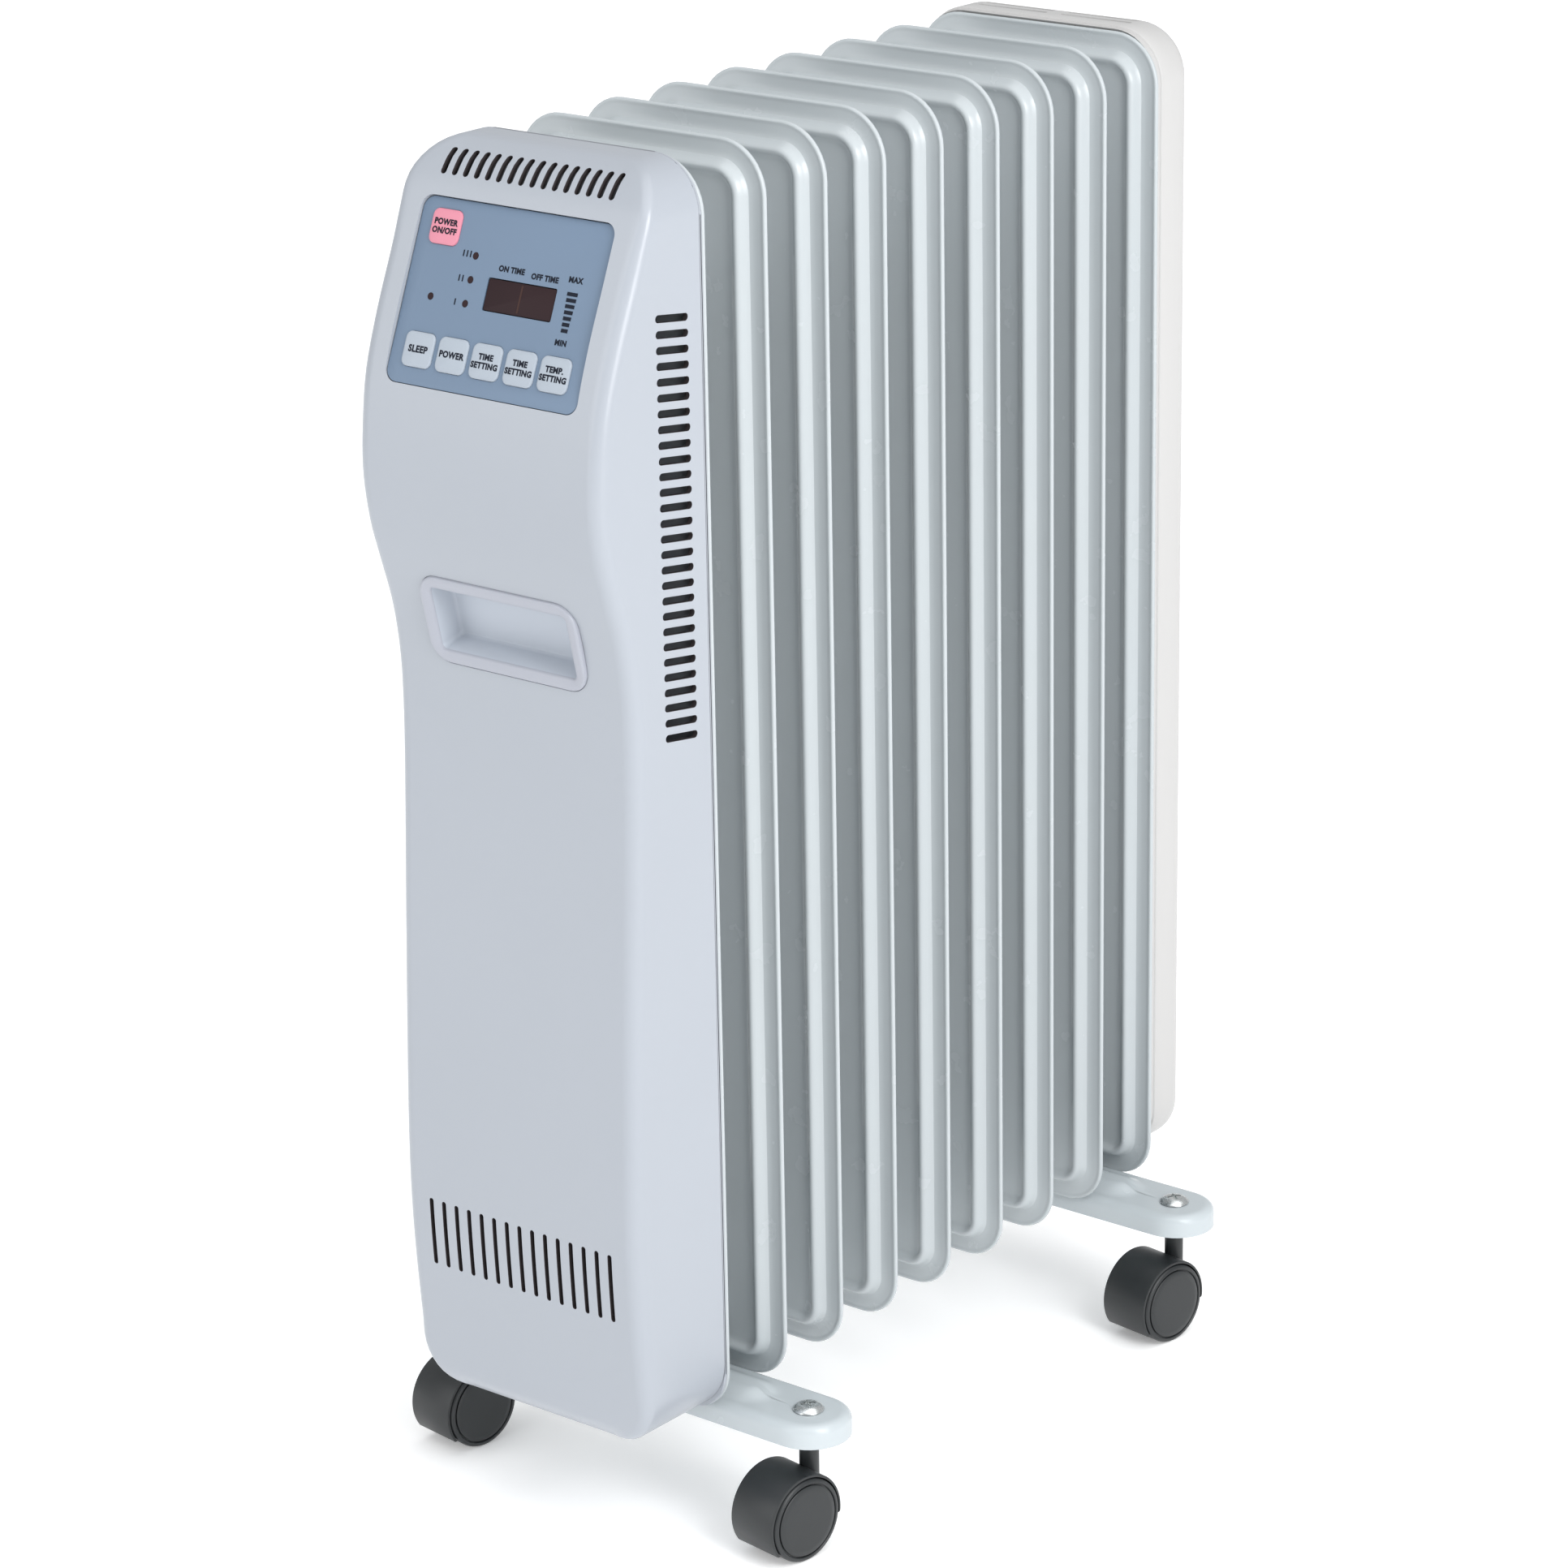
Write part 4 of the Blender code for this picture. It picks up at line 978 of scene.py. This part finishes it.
for end, y in FOOT_Y.items():
    for side, sign in SIDES.items():
        tag = f"{end}_{side}"
        swivel = (Matrix.Translation((sign * CASTER_X, y, WHEEL_R))
                  @ Matrix.Rotation(CASTER_TURN, 4, "Z") @ Matrix.Translation((0, -TRAIL, 0)))
        hood = copied(f"hood_{tag}", hood_shape.data)
        hood.data.transform(swivel)
        finish(hood, BLACK, f"caster_{tag}", [f"caster_hood_{tag}"], 35)
        for which, facing in (("outer", sign), ("inner", -sign)):
            wheel = copied(f"{which}_wheel_{tag}", wheel_shape.data)
            wheel.data.transform(swivel @ Matrix.Rotation(math.radians(90 * facing), 4, "Y"))
            node = f"wheel_{tag}_{which}"
            finish(wheel, BLACK, node, [node], 35)
        stud = copied(f"screw_{tag}", stud_shape.data)
        stud.data.transform(Matrix.Translation((sign * CASTER_X, y, FIN_LIFT + FOOT_TOP + GAP))
                            @ Matrix.Rotation(math.radians(20 + 35 * sign), 4, "Z"))
        finish(stud, STEEL, "heater", [f"caster_screw_{tag}"])
for shape in (hood_shape, wheel_shape, stud_shape):
    bpy.data.objects.remove(shape, do_unlink=True)

# ---------------------------------------------------------------- cord gland
gland = turned("cord_bush", [
    (0.0040, 0.0060), (0.0056, 0.0060), (0.0064, 0.0056), (0.0085, 0.0040), (0.0093, 0.0024),
    (0.0095, 0.0010), (0.0095, 0.0003), (0.0069, 0.0003), (0.0069, -0.0028), (0.0084, -0.0028),
    (0.0078, -0.0070), (0.0040, -0.0070), (0.0040, 0.0060),
], 48)
gland.data.transform(Matrix.Translation((-FIN_WIDTH / 2, COVER_REAR_Y - 0.020, FIN_LIFT + 0.045))
                     @ Matrix.Rotation(math.radians(-90), 4, "Y"))
finish(gland, BLACK, "heater", ["cord_gland"])

# ---------------------------------------------------------------- CAD pieces that keep their shape
KEPT = {
    "housing_back_tray": HOUSING, "heating_element": HEATER, "oil_fill_plug": BRASS,
    "tip_over_pendulum": BRASS, "terminal_block": KEY_PALE, "overheat_cutout": STEEL,
    "control_board": BOARD,
}
for name, obj in NODES.items():
    stuff = KEPT.get(name, STEEL if name.startswith("caster_axle") else None)
    if stuff is not None:
        obj.data.materials.clear()
        obj.data.materials.append(stuff)

# ---------------------------------------------------------------- floor, lights and camera
FLOOR = bpy.data.materials.new("floor")
floor_tree, floor_shader = nodes_of(FLOOR)
floor_shader.inputs["Roughness"].default_value = 0.7
floor_shader.inputs["Emission Color"].default_value = (1, 1, 1, 1)
floor_shader.inputs["Emission Strength"].default_value = 0.22
floor_tree.links.new(
    ramp_between(floor_tree, link_noise(floor_tree, 3.0).outputs["Fac"], 0.3, 0.7,
                 (0.955, 0.955, 0.955), (0.975, 0.975, 0.975)),
    floor_shader.inputs["Base Color"],
)
floor = mesh_object("floor", [(-9, -9, 0), (9, -9, 0), (9, 9, 0), (-9, 9, 0)], [(0, 1, 2, 3)])
floor.data.materials.append(FLOOR)


def area_light(name, place, target, size, power):
    light = bpy.data.lights.new(name, "AREA")
    light.shape = "RECTANGLE"
    light.size, light.size_y = size
    light.energy = power
    made = bpy.data.objects.new(name, light)
    made.location = place
    made.rotation_euler = (Vector(target) - Vector(place)).to_track_quat("-Z", "Y").to_euler()
    bpy.context.scene.collection.objects.link(made)


area_light("key", (2.9, -0.8, 1.3), (0, 0, 0.3), (1.4, 1.9), 38)
area_light("side", (1.1, -0.4, 1.1), (0, 0.1, 0.4), (0.4, 0.6), 5.5)
area_light("fill", (-1.3, -2.8, 1.3), (0, 0, 0.35), (2.2, 2.2), 26)
overhead = bpy.data.lights.new("overhead", "SUN")
overhead.energy = 1.35
overhead.angle = math.radians(70)
overhead_object = bpy.data.objects.new("overhead", overhead)
overhead_object.rotation_euler = (math.radians(8), math.radians(14), 0)
bpy.context.scene.collection.objects.link(overhead_object)

world = bpy.data.worlds.new("studio")
bpy.context.scene.world = world
world.use_nodes = True
world.node_tree.nodes["Background"].inputs["Color"].default_value = (0.97, 0.985, 1.0, 1)
world.node_tree.nodes["Background"].inputs["Strength"].default_value = 0.60
bpy.context.scene.view_settings.view_transform = "Standard"

AZIMUTH, ELEVATION, ROLL = (math.radians(a) for a in (39.01, 18.85, -1.01))
DISTANCE, LENS = 2.46469, 117.28
TARGET = Vector((-0.0478, 0.04625, 0.28993))
back = Vector((math.sin(AZIMUTH) * math.cos(ELEVATION), -math.cos(AZIMUTH) * math.cos(ELEVATION),
               math.sin(ELEVATION)))
right = Vector((math.cos(AZIMUTH), math.sin(AZIMUTH), 0))
upward = right.cross(-back)
local_x = right * math.cos(ROLL) + upward * math.sin(ROLL)
local_y = upward * math.cos(ROLL) - right * math.sin(ROLL)
camera_data = bpy.data.cameras.new("camera")
camera_data.sensor_width = 36
camera_data.lens = LENS
camera_data.clip_start, camera_data.clip_end = 0.05, 60
camera = bpy.data.objects.new("camera", camera_data)
camera.matrix_world = Matrix.Translation(TARGET + back * DISTANCE) @ Matrix(
    (local_x, local_y, back)
).transposed().to_4x4()
bpy.context.scene.collection.objects.link(camera)
bpy.context.scene.camera = camera

bpy.context.view_layer.update()
